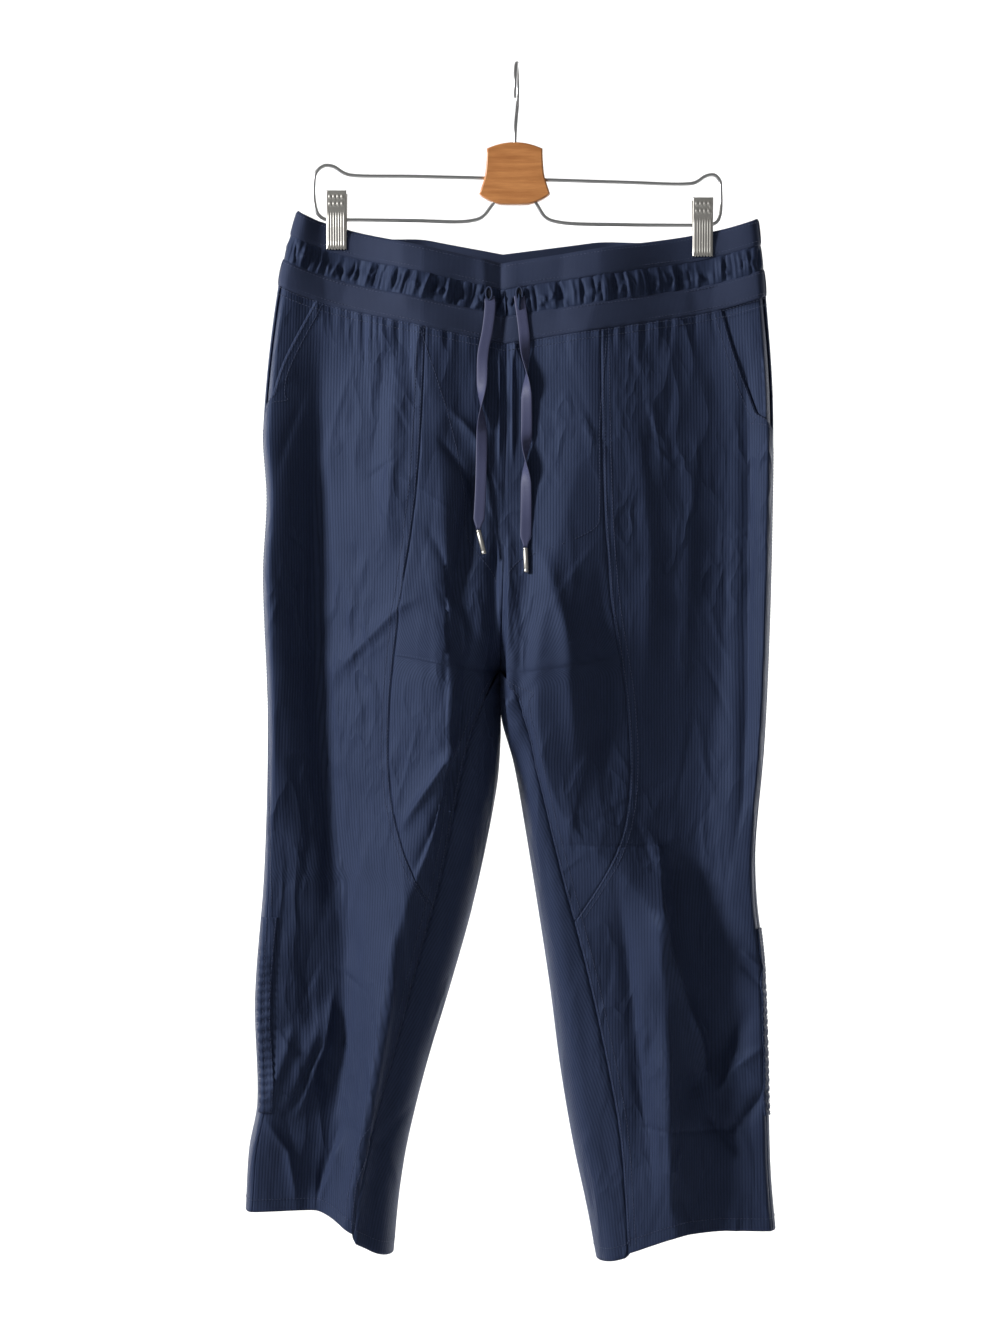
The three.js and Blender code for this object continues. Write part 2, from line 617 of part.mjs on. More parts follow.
// The point of the front that lies behind a place, moved out by a distance.
function onFront(half, x, z, off) {
  const line = [{ z: 0, x }, { z: -2000, x }];
  let low = WAIST_V;
  let high = CROTCH_V;
  for (let i = 0; i < 30; i++) {
    const middle = (low + high) / 2;
    [low, high] = surface(half, pOnLine(half, middle, line), middle).z > z ? [middle, high] : [low, middle];
  }
  const y = surface(half, pOnLine(half, low, line), low).y;
  return vec(x, y - off, z);
}

function drawcord({ name, half, route, tipEnd }) {
  const curve = new THREE.CatmullRomCurve3(route.map(({ x, z, off }) => onFront(half, x, z, off)));
  const last = route.length - 1;
  const faces = [1, -1].map((side) =>
    Array.from({ length: CORD_STEP_COUNT + 1 }, (_, i) => {
      const t = i / CORD_STEP_COUNT;
      const row = Math.min(Math.floor(t * last), last - 1);
      const turn = THREE.MathUtils.degToRad(lerp(route[row].turn, route[row + 1].turn, t * last - row));
      const across = vec(Math.cos(turn), -Math.sin(turn), 0);
      const face = curve.getTangent(t).cross(across).normalize();
      const width = lerp(CORD_WIDTH, 2 * TIP_RADIUS, smoothBetween(0.95, 1, t));
      return [-0.5, 0, 0.5].map((share) =>
        curve
          .getPoint(t)
          .addScaledVector(across, share * width)
          .addScaledVector(face, (side * CORD_THICK) / 2),
      );
    }),
  );
  const tape = named(`drawcord_${name}`, wallGeometry(faces[0], faces[1]), finishes.ribbon);

  const tip = named(`cord_tip_${name}`, new THREE.CylinderGeometry(TIP_RADIUS, TIP_RADIUS, TIP_LENGTH, 12), finishes.steel);
  const end = curve.getPoint(1);
  const down = onFront(half, tipEnd.x, tipEnd.z, TIP_RADIUS + 1).sub(end).normalize();
  tip.quaternion.setFromUnitVectors(vec(0, -1, 0), down);
  tip.position.copy(end).addScaledVector(down, TIP_LENGTH / 2 + 2 * SEAM_GAP);
  return [tape, tip];
}

// ---------- hanger ----------
// The wire loops: from the plate's side, out over a hump, down and back to the plate's foot.
const LEFT_WIRE = [
  { x: -27, z: -97 },
  { x: -90, z: -95.5 },
  { x: -142, z: -94.5 },
  { x: -149, z: -92.5 },
  { x: -158, z: -87 },
  { x: -166, z: -86.5 },
  { x: -172.5, z: -92 },
  { x: -174.5, z: -104 },
  { x: -174, z: -118 },
  { x: -171, z: -128 },
  { x: -165, z: -132.4 },
  { x: -158, z: -132.9 },
  { x: -148, z: -132.9 },
  { x: -90, z: -133.5 },
  { x: -42, z: -134 },
  { x: -30, z: -130.5 },
  { x: -22, z: -121 },
  { x: -16, z: -112 },
];
const RIGHT_WIRE = [
  { x: 23, z: -98.5 },
  { x: 90, z: -100.5 },
  { x: 146, z: -102 },
  { x: 154, z: -100.5 },
  { x: 163, z: -95 },
  { x: 170, z: -94.5 },
  { x: 174.5, z: -99.5 },
  { x: 175.5, z: -110 },
  { x: 175, z: -128 },
  { x: 172, z: -134.5 },
  { x: 166, z: -137.4 },
  { x: 160, z: -137.6 },
  { x: 148, z: -137.6 },
  { x: 90, z: -137 },
  { x: 37, z: -135 },
  { x: 25, z: -131 },
  { x: 18, z: -121 },
  { x: 13, z: -112 },
];
const HOOK_BEND = 19; // inside radius of the hook's crown
const HOOK_YAW = 78; // how far the hook is turned out of the hanger's plane, in degrees
const HOOK_FOOT_Z = -85;
const PLATE = { x: -2, top: -66.5, shoulder: -72, waistZ: -97, hip: -111, foot: -120 };

function tube(name, points, radius, sides, steps, material) {
  const section = new THREE.Shape();
  section.absarc(0, 0, radius, 0, 2 * Math.PI);
  const geometry = new THREE.ExtrudeGeometry(section, {
    curveSegments: sides / 2,
    steps,
    extrudePath: new THREE.CatmullRomCurve3(points, false, "centripetal"),
  });
  return named(name, geometry, material);
}

function hookPoints() {
  const centreRadius = HOOK_BEND + HOOK_RADIUS;
  const crown = [];
  for (let angle = -35; angle <= 180; angle += 21.5) {
    const a = THREE.MathUtils.degToRad(angle);
    crown.push({ across: -centreRadius * Math.cos(a), z: centreRadius * Math.sin(a) - HOOK_BEND });
  }
  const stem = [
    { across: centreRadius * 0.9, z: -32 },
    { across: centreRadius * 0.35, z: -44 },
    { across: 0, z: -56 },
    { across: 0, z: HOOK_FOOT_Z },
  ];
  const yaw = THREE.MathUtils.degToRad(HOOK_YAW);
  return [...crown, ...stem].map(({ across, z }) => {
    const lean = (PLATE.x * z) / HOOK_FOOT_Z;
    return vec(across * Math.cos(yaw) * 0.3 + lean, across * Math.sin(yaw), z);
  });
}

function plateOutline() {
  const shape = new THREE.Shape();
  const { x, top, shoulder, waistZ, hip, foot } = PLATE;
  shape.moveTo(x - 24, shoulder);
  shape.quadraticCurveTo(x - 24.5, waistZ + 6, x - 26, waistZ);
  shape.lineTo(x - 30.5, hip);
  shape.quadraticCurveTo(x - 24, foot + 3, x - 12, foot);
  shape.lineTo(x + 12, foot);
  shape.quadraticCurveTo(x + 24, foot + 3, x + 30.5, hip);
  shape.lineTo(x + 26, waistZ);
  shape.quadraticCurveTo(x + 24.5, waistZ + 6, x + 24, shoulder);
  shape.quadraticCurveTo(x, 2 * top - shoulder, x - 24, shoulder);
  return shape;
}

// The wooden plate, with a socket for each wire's end.
function plate(wasm, wires) {
  const bevel = 1.2;
  const geometry = new THREE.ExtrudeGeometry(plateOutline(), {
    depth: PLATE_THICK - 2 * bevel,
    bevelThickness: bevel,
    bevelSize: bevel,
    bevelOffset: -bevel,
    bevelSegments: 2,
    curveSegments: 6,
  });
  geometry.translate(0, 0, -PLATE_THICK / 2 + bevel);
  geometry.rotateX(Math.PI / 2);
  const solid = wires.reduce((left, wire) => left.subtract(solidOf(wasm, wire.geometry)), solidOf(wasm, geometry));
  return named("hanger_plate", geometryOf(solid), finishes.wood);
}

function solidOf(wasm, geometry) {
  const bare = new THREE.BufferGeometry().setAttribute("position", geometry.getAttribute("position"));
  if (geometry.index) {
    bare.setIndex(geometry.index);
  }
  const merged = mergeVertices(bare, 1e-3);
  return new wasm.Manifold(
    new wasm.Mesh({
      numProp: 3,
      vertProperties: merged.attributes.position.array,
      triVerts: new Uint32Array(merged.index.array),
    }),
  );
}

function geometryOf(solid) {
  const mesh = solid.getMesh();
  const geometry = new THREE.BufferGeometry()
    .setAttribute("position", new THREE.BufferAttribute(new Float32Array(mesh.vertProperties), 3))
    .setIndex(new THREE.BufferAttribute(mesh.triVerts, 1));
  geometry.computeVertexNormals();
  return geometry;
}

const spaceCurve = (points) => points.map(({ x, z }) => vec(x, 0, z));
const CLEAR = 0.3; // round a wire in its socket

function hangerPieces(wasm) {
  const wires = [
    { name: "hanger_hook", points: hookPoints(), radius: HOOK_RADIUS, steps: 40 },
    { name: "hanger_wire_left", points: spaceCurve(LEFT_WIRE), radius: WIRE_RADIUS, steps: 60 },
    { name: "hanger_wire_right", points: spaceCurve(RIGHT_WIRE), radius: WIRE_RADIUS, steps: 60 },
  ];
  const wire = ({ name, points, radius, steps }, extra) =>
    tube(name, extra ? lengthened(points) : points, radius + extra, 8, steps, finishes.steel);
  return [...wires.map((w) => wire(w, 0)), plate(wasm, wires.map((w) => wire(w, CLEAR)))];
}

// The same route, run on a little past both ends, so that a wire doesn't touch its socket's floor.
function lengthened(points) {
  const beyond = (end, next) => end.clone().add(end.clone().sub(next).setLength(CLEAR));
  return [beyond(points[0], points[1]), ...points.slice(1, -1), beyond(points.at(-1), points.at(-2))];
}

// ---------- clips ----------
const CLIPS = [
  { name: "left", x: -155, top: -109, railZ: -132.9 },
  { name: "right", x: 159.5, top: -115, railZ: -137.6 },
];
const JAW_REST = 2.3 + 3 * SEAM_GAP; // from the middle plane to the jaw's inner face, on the waist's cloth

// One pressed plate: a jaw that lies on the cloth and a handle that leans out above the rail.
function clipPlate({ name, x, top }, side) {
  const profile = [
    { drop: 0, away: CLIP_SPREAD },
    { drop: CLIP_HEIGHT * 0.42, away: 5.2 },
    { drop: CLIP_HEIGHT * 0.62, away: 4.6 },
    { drop: CLIP_HEIGHT * 0.86, away: JAW_REST },
    { drop: CLIP_HEIGHT, away: JAW_REST },
  ];
  const ribs = [-0.5, -0.42, -0.3, -0.18, -0.06, 0.06, 0.18, 0.3, 0.42, 0.5];
  const isRaised = (share, i) => i > 0 && i < profile.length - 1 && [-0.3, 0.06, 0.3, -0.06].includes(share);
  const grid = (thick) =>
    profile.map(({ drop, away }, i) =>
      ribs.map((share) => {
        const proud = thick && isRaised(share, i) ? 0.5 : 0;
        return vec(x + share * CLIP_WIDTH, side * (away + thick + proud), top - drop);
      }),
    );
  return named(`clip_${name}_${side < 0 ? "front" : "back"}`, wallGeometry(grid(CLIP_SHEET), grid(0)), finishes.steel);
}

// The coil spring that sits round the rail between the two plates.
function clipSpring({ name, x, railZ }) {
  const outer = 4;
  const inner = WIRE_RADIUS + 0.4;
  const halfLength = CLIP_WIDTH * 0.28;
  const profile = [
    new THREE.Vector2(inner, -halfLength),
    new THREE.Vector2(outer, -halfLength),
    new THREE.Vector2(outer, halfLength),
    new THREE.Vector2(inner, halfLength),
    new THREE.Vector2(inner, -halfLength),
  ];
  const coil = named(`clip_${name}_spring`, new THREE.LatheGeometry(profile, 12), finishes.steel);
  coil.rotation.z = Math.PI / 2;
  coil.position.set(x, 0, railZ);
  return coil;
}

// ---------- assembly ----------
const wasm = await Module();
wasm.setup();

const part = new THREE.Group();
part.name = "capri_pants_on_clip_hanger";
for (const half of HALVES) {
  part.add(...clothPanels(half));
}
for (const band of BANDS) {
  part.add(bandPiece(band, true), bandPiece(band, false));
}
for (const cord of CORDS) {
  part.add(...drawcord(cord));
}
part.add(...hangerPieces(wasm));
for (const clip of CLIPS) {
  part.add(clipPlate(clip, -1), clipPlate(clip, 1), clipSpring(clip));
}
export default part;
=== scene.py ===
"""Cropped woven trousers on a wire clip hanger: the cloth, cords, hanger, materials, light and camera.

Sizes here are in millimetres until a mesh is made. The front faces -Y, and "left" and "right" are as seen
from the front. Every cloth piece is cut from one surface. Each half of it is a stack of sections: a section
runs from its outer edge, p = 0, round the front to p = 1 and round the back to p = -1. The height is v:
WAIST_V at the waist's top edge, 0 at the waist seam, CROTCH_V at the crotch and 1 at the hem.
"""
import math

import bpy
import numpy as np
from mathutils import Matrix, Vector


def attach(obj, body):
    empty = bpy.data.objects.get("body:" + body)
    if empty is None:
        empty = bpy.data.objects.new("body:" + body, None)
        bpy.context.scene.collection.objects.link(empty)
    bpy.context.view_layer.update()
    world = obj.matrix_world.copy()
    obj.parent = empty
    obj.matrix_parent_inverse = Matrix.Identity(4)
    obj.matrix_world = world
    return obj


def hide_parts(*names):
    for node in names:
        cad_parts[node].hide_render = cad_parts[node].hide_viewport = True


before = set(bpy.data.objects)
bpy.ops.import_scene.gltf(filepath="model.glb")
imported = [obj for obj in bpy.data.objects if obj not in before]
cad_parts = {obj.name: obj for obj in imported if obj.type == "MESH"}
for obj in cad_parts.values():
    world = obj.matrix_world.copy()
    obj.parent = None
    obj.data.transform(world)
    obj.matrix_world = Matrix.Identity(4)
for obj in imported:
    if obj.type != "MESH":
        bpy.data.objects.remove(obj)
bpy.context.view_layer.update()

MM = 0.001
TAU = 2 * math.pi

# ---------- driving dimensions, as in the CAD model ----------
WAIST_V = -0.08
CROTCH_V = 0.35
CROTCH_START_V = 0.2
CAP_P = 0.12
INNER_P = 0.78
CAP_RUN = 8
BACK_RISE = 10
THIGH_PRESS = 1.2  # the legs press together just under the crotch
PANEL_THICK = 1.2
BAND_THICK = 1.8
FACING_DEPTH = 3.6
FACING_UNDERLAP = 12
CASING_WIDTH = 12
CORD_WIDTH = 9.5
CORD_THICK = 1.2
TIP_RADIUS = 2.2
TIP_LENGTH = 21
V_TO_MM = 850  # a step of 1 in v is about this far


# ---------- tables ----------
def table(header, rows):
    """Named columns from a header and its rows."""
    return {name: np.array([row[i] for row in rows], float) for i, name in enumerate(header.split())}


def column(rows, key, at, name):
    """A column of a table at a key's values, on a smooth curve through the rows."""
    keys, values = rows[key], rows[name]
    if keys[-1] < keys[0]:
        keys, values = keys[::-1], values[::-1]
    before, after = np.r_[0, 0 : len(keys) - 1], np.r_[1 : len(keys), len(keys) - 1]
    slopes = (values[after] - values[before]) / (keys[after] - keys[before])
    t = np.clip(at, keys[0], keys[-1])
    i = np.clip(np.searchsorted(keys, t), 1, len(keys) - 1)
    span = keys[i] - keys[i - 1]
    s = (t - keys[i - 1]) / span
    return (
        values[i - 1]
        + (values[i] - values[i - 1]) * smooth(s)
        + span * (slopes[i - 1] * s * (1 - s) ** 2 - slopes[i] * s * s * (1 - s))
    )


def lerp(a, b, t):
    return a + (b - a) * t


def smooth(t):
    return t * t * (3 - 2 * t)


def smooth_between(low, high, t):
    return smooth(np.clip((t - low) / (high - low), 0, 1))


class Half:
    """One half of the trousers."""

    def __init__(self, name, direction, **tables):
        self.name = name
        self.dir = direction  # the way x goes as p grows
        self.__dict__.update(tables)


DEPTHS = "v edge valley_x valley_half valley crest_x crest inner run"

LEFT = Half(
    "left",
    1,
    levels=table("v z_outer z_inner", [(-0.08, -125, -171), (0, -188, -240), (0.35, -502, -520), (1, -981, -1012)]),
    outer=table(
        "z x",
        [(-125, -189), (-188, -205), (-310, -218), (-374, -215), (-440, -218), (-560, -214),
         (-690, -217), (-800, -225), (-890, -223), (-930, -230), (-981, -233)],
    ),
    inner=table(
        "z x",
        [(-170, -12), (-241, -9), (-440, -12), (-520, -14), (-580, -14), (-625, -18), (-718, -37),
         (-790, -57), (-860, -78), (-925, -94), (-975, -102), (-1012, -106)],
    ),
    front=table(DEPTHS, [
        (-0.08, 9, -155, 14, 2.3, -80, 20, 11, 14),
        (-0.04, 10, -155, 12, 2.6, -80, 21, 13, 14),
        (0, 13, -158, 5, 6, -80, 24, 16, 14),
        (0.1, 24, -169, 2, 14, -70, 35, 27, 20),
        (0.2, 29, -171, 0, 14, -62, 46, 36, 28),
        (0.35, 30, -171, 0, 12, -58, 58, 46, 34),
        (0.5, 30, -163, 0, 15, -62, 56, 42, 36),
        (0.65, 29, -148, 0, 16, -98, 50, 34, 30),
        (0.8, 31, -149, 0, 14, -118, 46, 32, 22),
        (1, 30, -172, 0, 19, -140, 42, 32, 20),
    ]),
    back=table(DEPTHS, [
        (-0.08, 9, -155, 14, 2.3, -80, 18, 14, 14),
        (-0.04, 10, -155, 12, 2.6, -80, 20, 15, 14),
        (0, 13, -157, 5, 7, -85, 26, 18, 14),
        (0.1, 20, -160, 2, 15, -90, 44, 30, 20),
        (0.2, 24, -164, 0, 22, -92, 56, 40, 28),
        (0.35, 28, -172, 0, 27, -92, 60, 48, 34),
        (0.5, 27, -172, 0, 28, -104, 52, 42, 36),
        (0.8, 24, -190, 0, 27, -140, 42, 30, 28),
        (1, 22, -200, 0, 26, -160, 38, 26, 24),
    ]),
    side_seam=table("v p", [(-0.08, 0.035), (0.4, 0.035), (0.66, 0.115), (0.9, 0.125), (1, 0.12)]),
    princess=table("z x", [(-200, -77), (-357, -84), (-446, -96), (-537, -107), (-597, -109), (-648, -103),
                           (-693, -88), (-722, -70), (-760, -40)]),
    inseam=table("z x", [(-520, -13), (-546, -27), (-586, -42), (-697, -65), (-773, -85), (-863, -109),
                         (-945, -131), (-1012, -141)]),
    pocket=table("z x", [(-190, -168), (-205, -174), (-258, -200), (-300, -212), (-340, -222)]),
    pocket_end=0.13,
    hem_step=7,
    casing=(0.66, 0.885),
)

RIGHT = Half(
    "right",
    -1,
    levels=table("v z_outer z_inner", [(-0.08, -132, -171), (0, -198, -240), (0.35, -505, -520), (1, -998, -1021)]),
    outer=table(
        "z x",
        [(-132, 207), (-198, 214), (-290, 220), (-410, 219), (-512, 216), (-590, 212), (-670, 205),
         (-715, 206), (-770, 212), (-880, 216), (-950, 218), (-998, 222)],
    ),
    inner=table(
        "z x",
        [(-170, -12), (-241, -9), (-440, -12), (-520, -14), (-560, -13.6), (-600, -3), (-650, 6), (-718, 17),
         (-790, 28), (-860, 37), (-925, 48), (-990, 62), (-1021, 68)],
    ),
    front=table(DEPTHS, [
        (-0.08, 9, 159, 14, 2.3, 70, 21, 11, 14),
        (-0.04, 10, 159, 12, 2.6, 70, 22, 13, 14),
        (0, 14, 163, 5, 6, 60, 26, 16, 14),
        (0.1, 24, 175, 2, 14, 60, 38, 27, 15),
        (0.2, 29, 177, 0, 15, 40, 47, 36, 15),
        (0.35, 30, 176, 0, 13, 18, 57, 46, 16),
        (0.5, 30, 160, 0, 18, 34, 52, 42, 18),
        (0.65, 29, 156, 0, 19, 118, 46, 36, 20),
        (0.8, 28, 166, 0, 19, 124, 46, 32, 20),
        (1, 26, 178, 0, 24, 134, 44, 32, 20),
    ]),
    back=table(DEPTHS, [
        (-0.08, 9, 159, 14, 2.3, 80, 18, 14, 14),
        (-0.04, 10, 159, 12, 2.6, 80, 20, 15, 14),
        (0, 14, 162, 5, 7, 80, 26, 18, 14),
        (0.1, 20, 166, 2, 15, 78, 44, 30, 20),
        (0.2, 24, 168, 0, 22, 74, 56, 40, 24),
        (0.35, 28, 170, 0, 27, 70, 60, 48, 26),
        (0.5, 27, 165, 0, 28, 84, 52, 42, 28),
        (0.8, 24, 172, 0, 27, 110, 42, 30, 24),
        (1, 22, 184, 0, 26, 120, 38, 26, 22),
    ]),
    side_seam=table("v p", [(-0.08, 0.035), (0.4, 0.035), (0.7, 0.07), (1, 0.08)]),
    princess=table("z x", [(-200, 71), (-383, 74), (-465, 81), (-544, 93), (-600, 96), (-641, 93), (-676, 83),
                           (-726, 54), (-765, 24)]),
    inseam=table("z x", [(-520, -15), (-546, 1), (-609, 17), (-687, 36), (-771, 58), (-859, 77), (-925, 88),
                         (-1021, 95)]),
    pocket=table("z x", [(-190, 171), (-212, 176), (-255, 188), (-303, 204), (-345, 222)]),
    pocket_end=0.14,
    hem_step=3,
    casing=(0.66, 0.87),
)
HALVES = (LEFT, RIGHT)

# ---------- folds ----------
# Each is a ridge that follows a line of (x, z) points; a negative height makes a trough. left and right are
# the widths of its two sides, looking along the line from its first point, and round is how blunt it is.
FRONT_FOLDS = [
    # the troughs that hang from the clips
    dict(line=[(-167, -225), (-170, -360), (-170, -500), (-166, -600), (-156, -700), (-148, -790)], height=-6, left=13, right=16, round=2.5),
    dict(line=[(193, -230), (195, -360), (193, -480), (192, -630), (180, -700)], height=-6, left=6, right=17, round=1.5),
    # left half, hip and thigh
    dict(line=[(-100, -250), (-112, -420)], height=4, left=12, right=12, round=6),
    dict(line=[(-159, -527), (-100, -468), (-78, -456)], height=3, left=5, right=9, round=1.5),
    dict(line=[(-72, -315), (-40, -357), (-14, -402)], height=-2.6, left=6, right=5, round=1.2),
    dict(line=[(-66, -290), (-36, -322), (-10, -380)], height=2.2, left=5, right=6, round=1.5),
    dict(line=[(-80, -390), (-56, -440), (-34, -500)], height=-2.6, left=6, right=7, round=1.5),
    dict(line=[(-62, -425), (-57, -490), (-63, -560)], height=-2.8, left=6, right=8, round=1.5),
    dict(line=[(-45, -430), (-47, -500), (-62, -590)], height=2.4, left=5, right=7, round=1.5),
    dict(line=[(-100, -658), (-60, -598), (-48, -570)], height=4.2, left=5, right=6, round=1.2),
    dict(line=[(-92, -700), (-66, -640), (-44, -575)], height=-3.4, left=6, right=6, round=1.5),
    dict(line=[(-30, -330), (-52, -470)], height=-5, left=9, right=9, round=4),
    # left leg
    dict(line=[(-104, -730), (-106, -786), (-120, -865), (-137, -958), (-147, -1012)], height=4.5, left=9, right=6, round=1.5),
    dict(line=[(-166, -832), (-184, -872), (-200, -905)], height=-4.5, left=7, right=9, round=1.6),
    dict(line=[(-200, -905), (-160, -800)], height=6, left=12, right=12, round=5),
    dict(line=[(-144, -910), (-158, -950), (-175, -985)], height=3, left=5, right=7, round=1.5),
    dict(line=[(-190, -820), (-212, -888)], height=3, left=6, right=6, round=2),
    dict(line=[(-156, -790), (-166, -840), (-190, -905)], height=3.4, left=4, right=9, round=0.8),
    dict(line=[(-150, -900), (-166, -950), (-172, -985)], height=-3, left=6, right=4, round=0.8),
    dict(line=[(-219, -896), (-196, -930), (-188, -975)], height=2.6, left=5, right=5, round=1.2),
    dict(line=[(-130, -640), (-128, -760), (-134, -880)], height=2.5, left=14, right=12, round=6),
    # right half, hip and thigh
    dict(line=[(20, -408), (50, -530)], height=3, left=8, right=9, round=2.5),
    dict(line=[(70, -420), (76, -640)], height=-5, left=12, right=12, round=5),
    dict(line=[(35, -450), (50, -600)], height=4, left=10, right=10, round=4),
    dict(line=[(100, -300), (112, -420), (108, -540)], height=2.4, left=12, right=14, round=5),
    dict(line=[(150, -300), (146, -420), (140, -560)], height=2, left=14, right=12, round=5),
    dict(line=[(28, -668), (88, -669), (150, -668)], height=-0.9, left=2, right=2, round=0.6),
    dict(line=[(86, -907), (150, -912), (214, -913)], height=-0.9, left=2, right=2, round=0.6),
    # right leg
    dict(line=[(119, -660), (121, -740), (124, -800)], height=6, left=14, right=5, round=0.9),
    dict(line=[(133, -665), (136, -722), (131, -775)], height=-4.5, left=8, right=10, round=1.5),
    dict(line=[(119, -720), (134, -778), (149, -826), (168, -886)], height=4.6, left=9, right=4, round=0.7, fade=(0.12, 0.7)),
    dict(line=[(126, -800), (127, -850), (130, -1000)], height=4.6, left=14, right=5, round=0.9),
    dict(line=[(112, -800), (110, -900), (116, -975)], height=-3.4, left=7, right=8, round=1.2),
    dict(line=[(84, -700), (92, -760), (101, -860), (108, -965)], height=-8, left=16, right=9, round=3),
    dict(line=[(140, -804), (175, -890)], height=3.4, left=6, right=8, round=1.6),
    dict(line=[(200, -800), (140, -900)], height=-6, left=14, right=14, round=5),
    dict(line=[(216, -872), (190, -905), (172, -916)], height=-4.4, left=6, right=9, round=1),
    dict(line=[(212, -838), (186, -858), (168, -884)], height=3.4, left=4, right=9, round=0.9),
    dict(line=[(162, -894), (176, -918), (192, -938)], height=-3.4, left=5, right=5, round=1),
    dict(line=[(190, -758), (214, -780)], height=2.4, left=4, right=4, round=1.2),
    dict(line=[(188, -768), (213, -794)], height=-2.4, left=4, right=4, round=1.2),
    # the centre front
    dict(line=[(-15, -240), (-15, -350)], height=1.8, left=1.6, right=1.6, round=0.6),
    dict(line=[(-4, -240), (-4, -352)], height=1.8, left=1.6, right=1.6, round=0.6),
    dict(line=[(-19, -385), (-15, -480), (-14, -560)], height=-8, left=11, right=4, round=1),
    dict(line=[(-8, -390), (-6, -520), (-2, -640)], height=3.5, left=3, right=6, round=1.5),
]
BACK_FOLDS = [
    dict(line=[(-60, -300), (-110, -520)], height=5, left=14, right=14, round=5),
    dict(line=[(60, -300), (112, -500)], height=5, left=14, right=14, round=5),
    dict(line=[(-150, -640), (-120, -900)], height=-5, left=14, right=14, round=5),
    dict(line=[(150, -620), (118, -880)], height=-5, left=14, right=14, round=5),
    dict(line=[(-168, -230), (-172, -380), (-170, -520)], height=-5, left=14, right=14, round=2.5),
    dict(line=[(168, -230), (172, -380), (170, -520)], height=-5, left=14, right=14, round=2.5),
    dict(line=[(-22, -520), (-70, -560), (-130, -620)], height=3.5, left=8, right=8, round=2),
    dict(line=[(-30, -490), (-90, -520)], height=-3.4, left=7, right=7, round=2),
    dict(line=[(8, -520), (60, -560), (120, -640)], height=3.5, left=8, right=8, round=2),
    dict(line=[(6, -490), (80, -522)], height=-3.4, left=7, right=7, round=2),
    dict(line=[(-100, -660), (-60, -600)], height=3, left=6, right=8, round=2),
    dict(line=[(60, -640), (100, -720), (110, -820)], height=3.4, left=8, right=8, round=2),
    dict(line=[(-190, -860), (-150, -930), (-140, -990)], height=3, left=7, right=8, round=2),
    dict(line=[(190, -840), (160, -930)], height=3.4, left=7, right=8, round=2),
    dict(line=[(-60, -420), (-30, -470)], height=-2.4, left=6, right=6, round=2),
]


def jitter(*numbers):
    """A repeatable number from 0 to 1 for each set of numbers."""
    value = math.sin(sum((i + 1.7) * 12.9898 * n for i, n in enumerate(numbers)) + 4.1) * 43758.5453
    return value - math.floor(value)


def waist_gathers(side):
    """The small pleats that fall from the waist seam, each dying away in its own length."""
    folds = []
    x = -196
    while x < 205:
        strong = math.exp(-(((x + 118) / 48) ** 2)) + math.exp(-(((x - 122) / 52) ** 2))
        top = -240 + 50 * (abs(x + 12) / 200) ** 1.6 + (8 if side > 1 else 0)
        length = lerp(14, 44, jitter(x, 3) ** 1.4) * (0.7 + 0.9 * strong)
        lean = (jitter(x, 5) - 0.5) * 0.3 * length
        folds.append(
            dict(line=[(x, top + 6), (x + lean * 0.3, top - 0.4 * length), (x + lean, top - length)],
                 height=(0.7 + 1.1 * strong) * lerp(0.5, 1.4, jitter(x, 7)) * (1 if jitter(x, 9) > 0.4 else -1),
                 left=lerp(1.4, 3.2, jitter(x, 11)), right=lerp(1.4, 3.2, jitter(x, 13)), round=0.6, fade=(0.04, 0.12))
        )
        x += lerp(3.5, 8.5, jitter(x, side))
    return folds


def small_creases(side, count):
    """Light creases all over, mostly near upright, none alike."""
    folds = []
    for i in range(count):
        x = lerp(-210, 210, jitter(i, side, 1))
        z = lerp(-245, -990, jitter(i, side, 2))
        turn = math.radians(lerp(-24, 24, jitter(i, side, 3)) * (1 if jitter(i, side, 4) > 0.25 else 2.6))
        length = lerp(30, 130, jitter(i, side, 5) ** 1.6)
        bow = 0.1 * length * (jitter(i, side, 6) - 0.5)
        dx, dz = length * math.sin(turn), -length * math.cos(turn)
        steep, gentle = lerp(1.2, 2.6, jitter(i, side, 9)), lerp(3, 11, jitter(i, side, 10))
        height = lerp(0.5, 1.6, jitter(i, side, 7) ** 1.5) * (1 if jitter(i, side, 8) > 0.45 else -1)
        folds.append(
            dict(line=[(x, z), (x + dx / 2 + bow, z + dz / 2), (x + dx, z + dz)], height=height, round=0.6,
                 left=gentle if i % 2 else steep, right=steep if i % 2 else gentle, fade=(0.4, 0.5))
        )
    return folds


for fold in FRONT_FOLDS + BACK_FOLDS:
    fold["height"] *= 1.35
FRONT_FOLDS += waist_gathers(1) + small_creases(1, 170)
BACK_FOLDS += waist_gathers(2) + small_creases(2, 120)


def fold_height(folds, x, z):
    total = np.zeros(x.shape)
    for fold in folds:
        line = np.array(fold["line"], float)
        reach = 3.2 * max(fold["left"], fold["right"])
        near = (
            (x > line[:, 0].min() - reach) & (x < line[:, 0].max() + reach)
            & (z > line[:, 1].min() - reach) & (z < line[:, 1].max() + reach)
        )
        if near.any():
            total[near] += one_fold(fold, line, x[near], z[near])
    return total


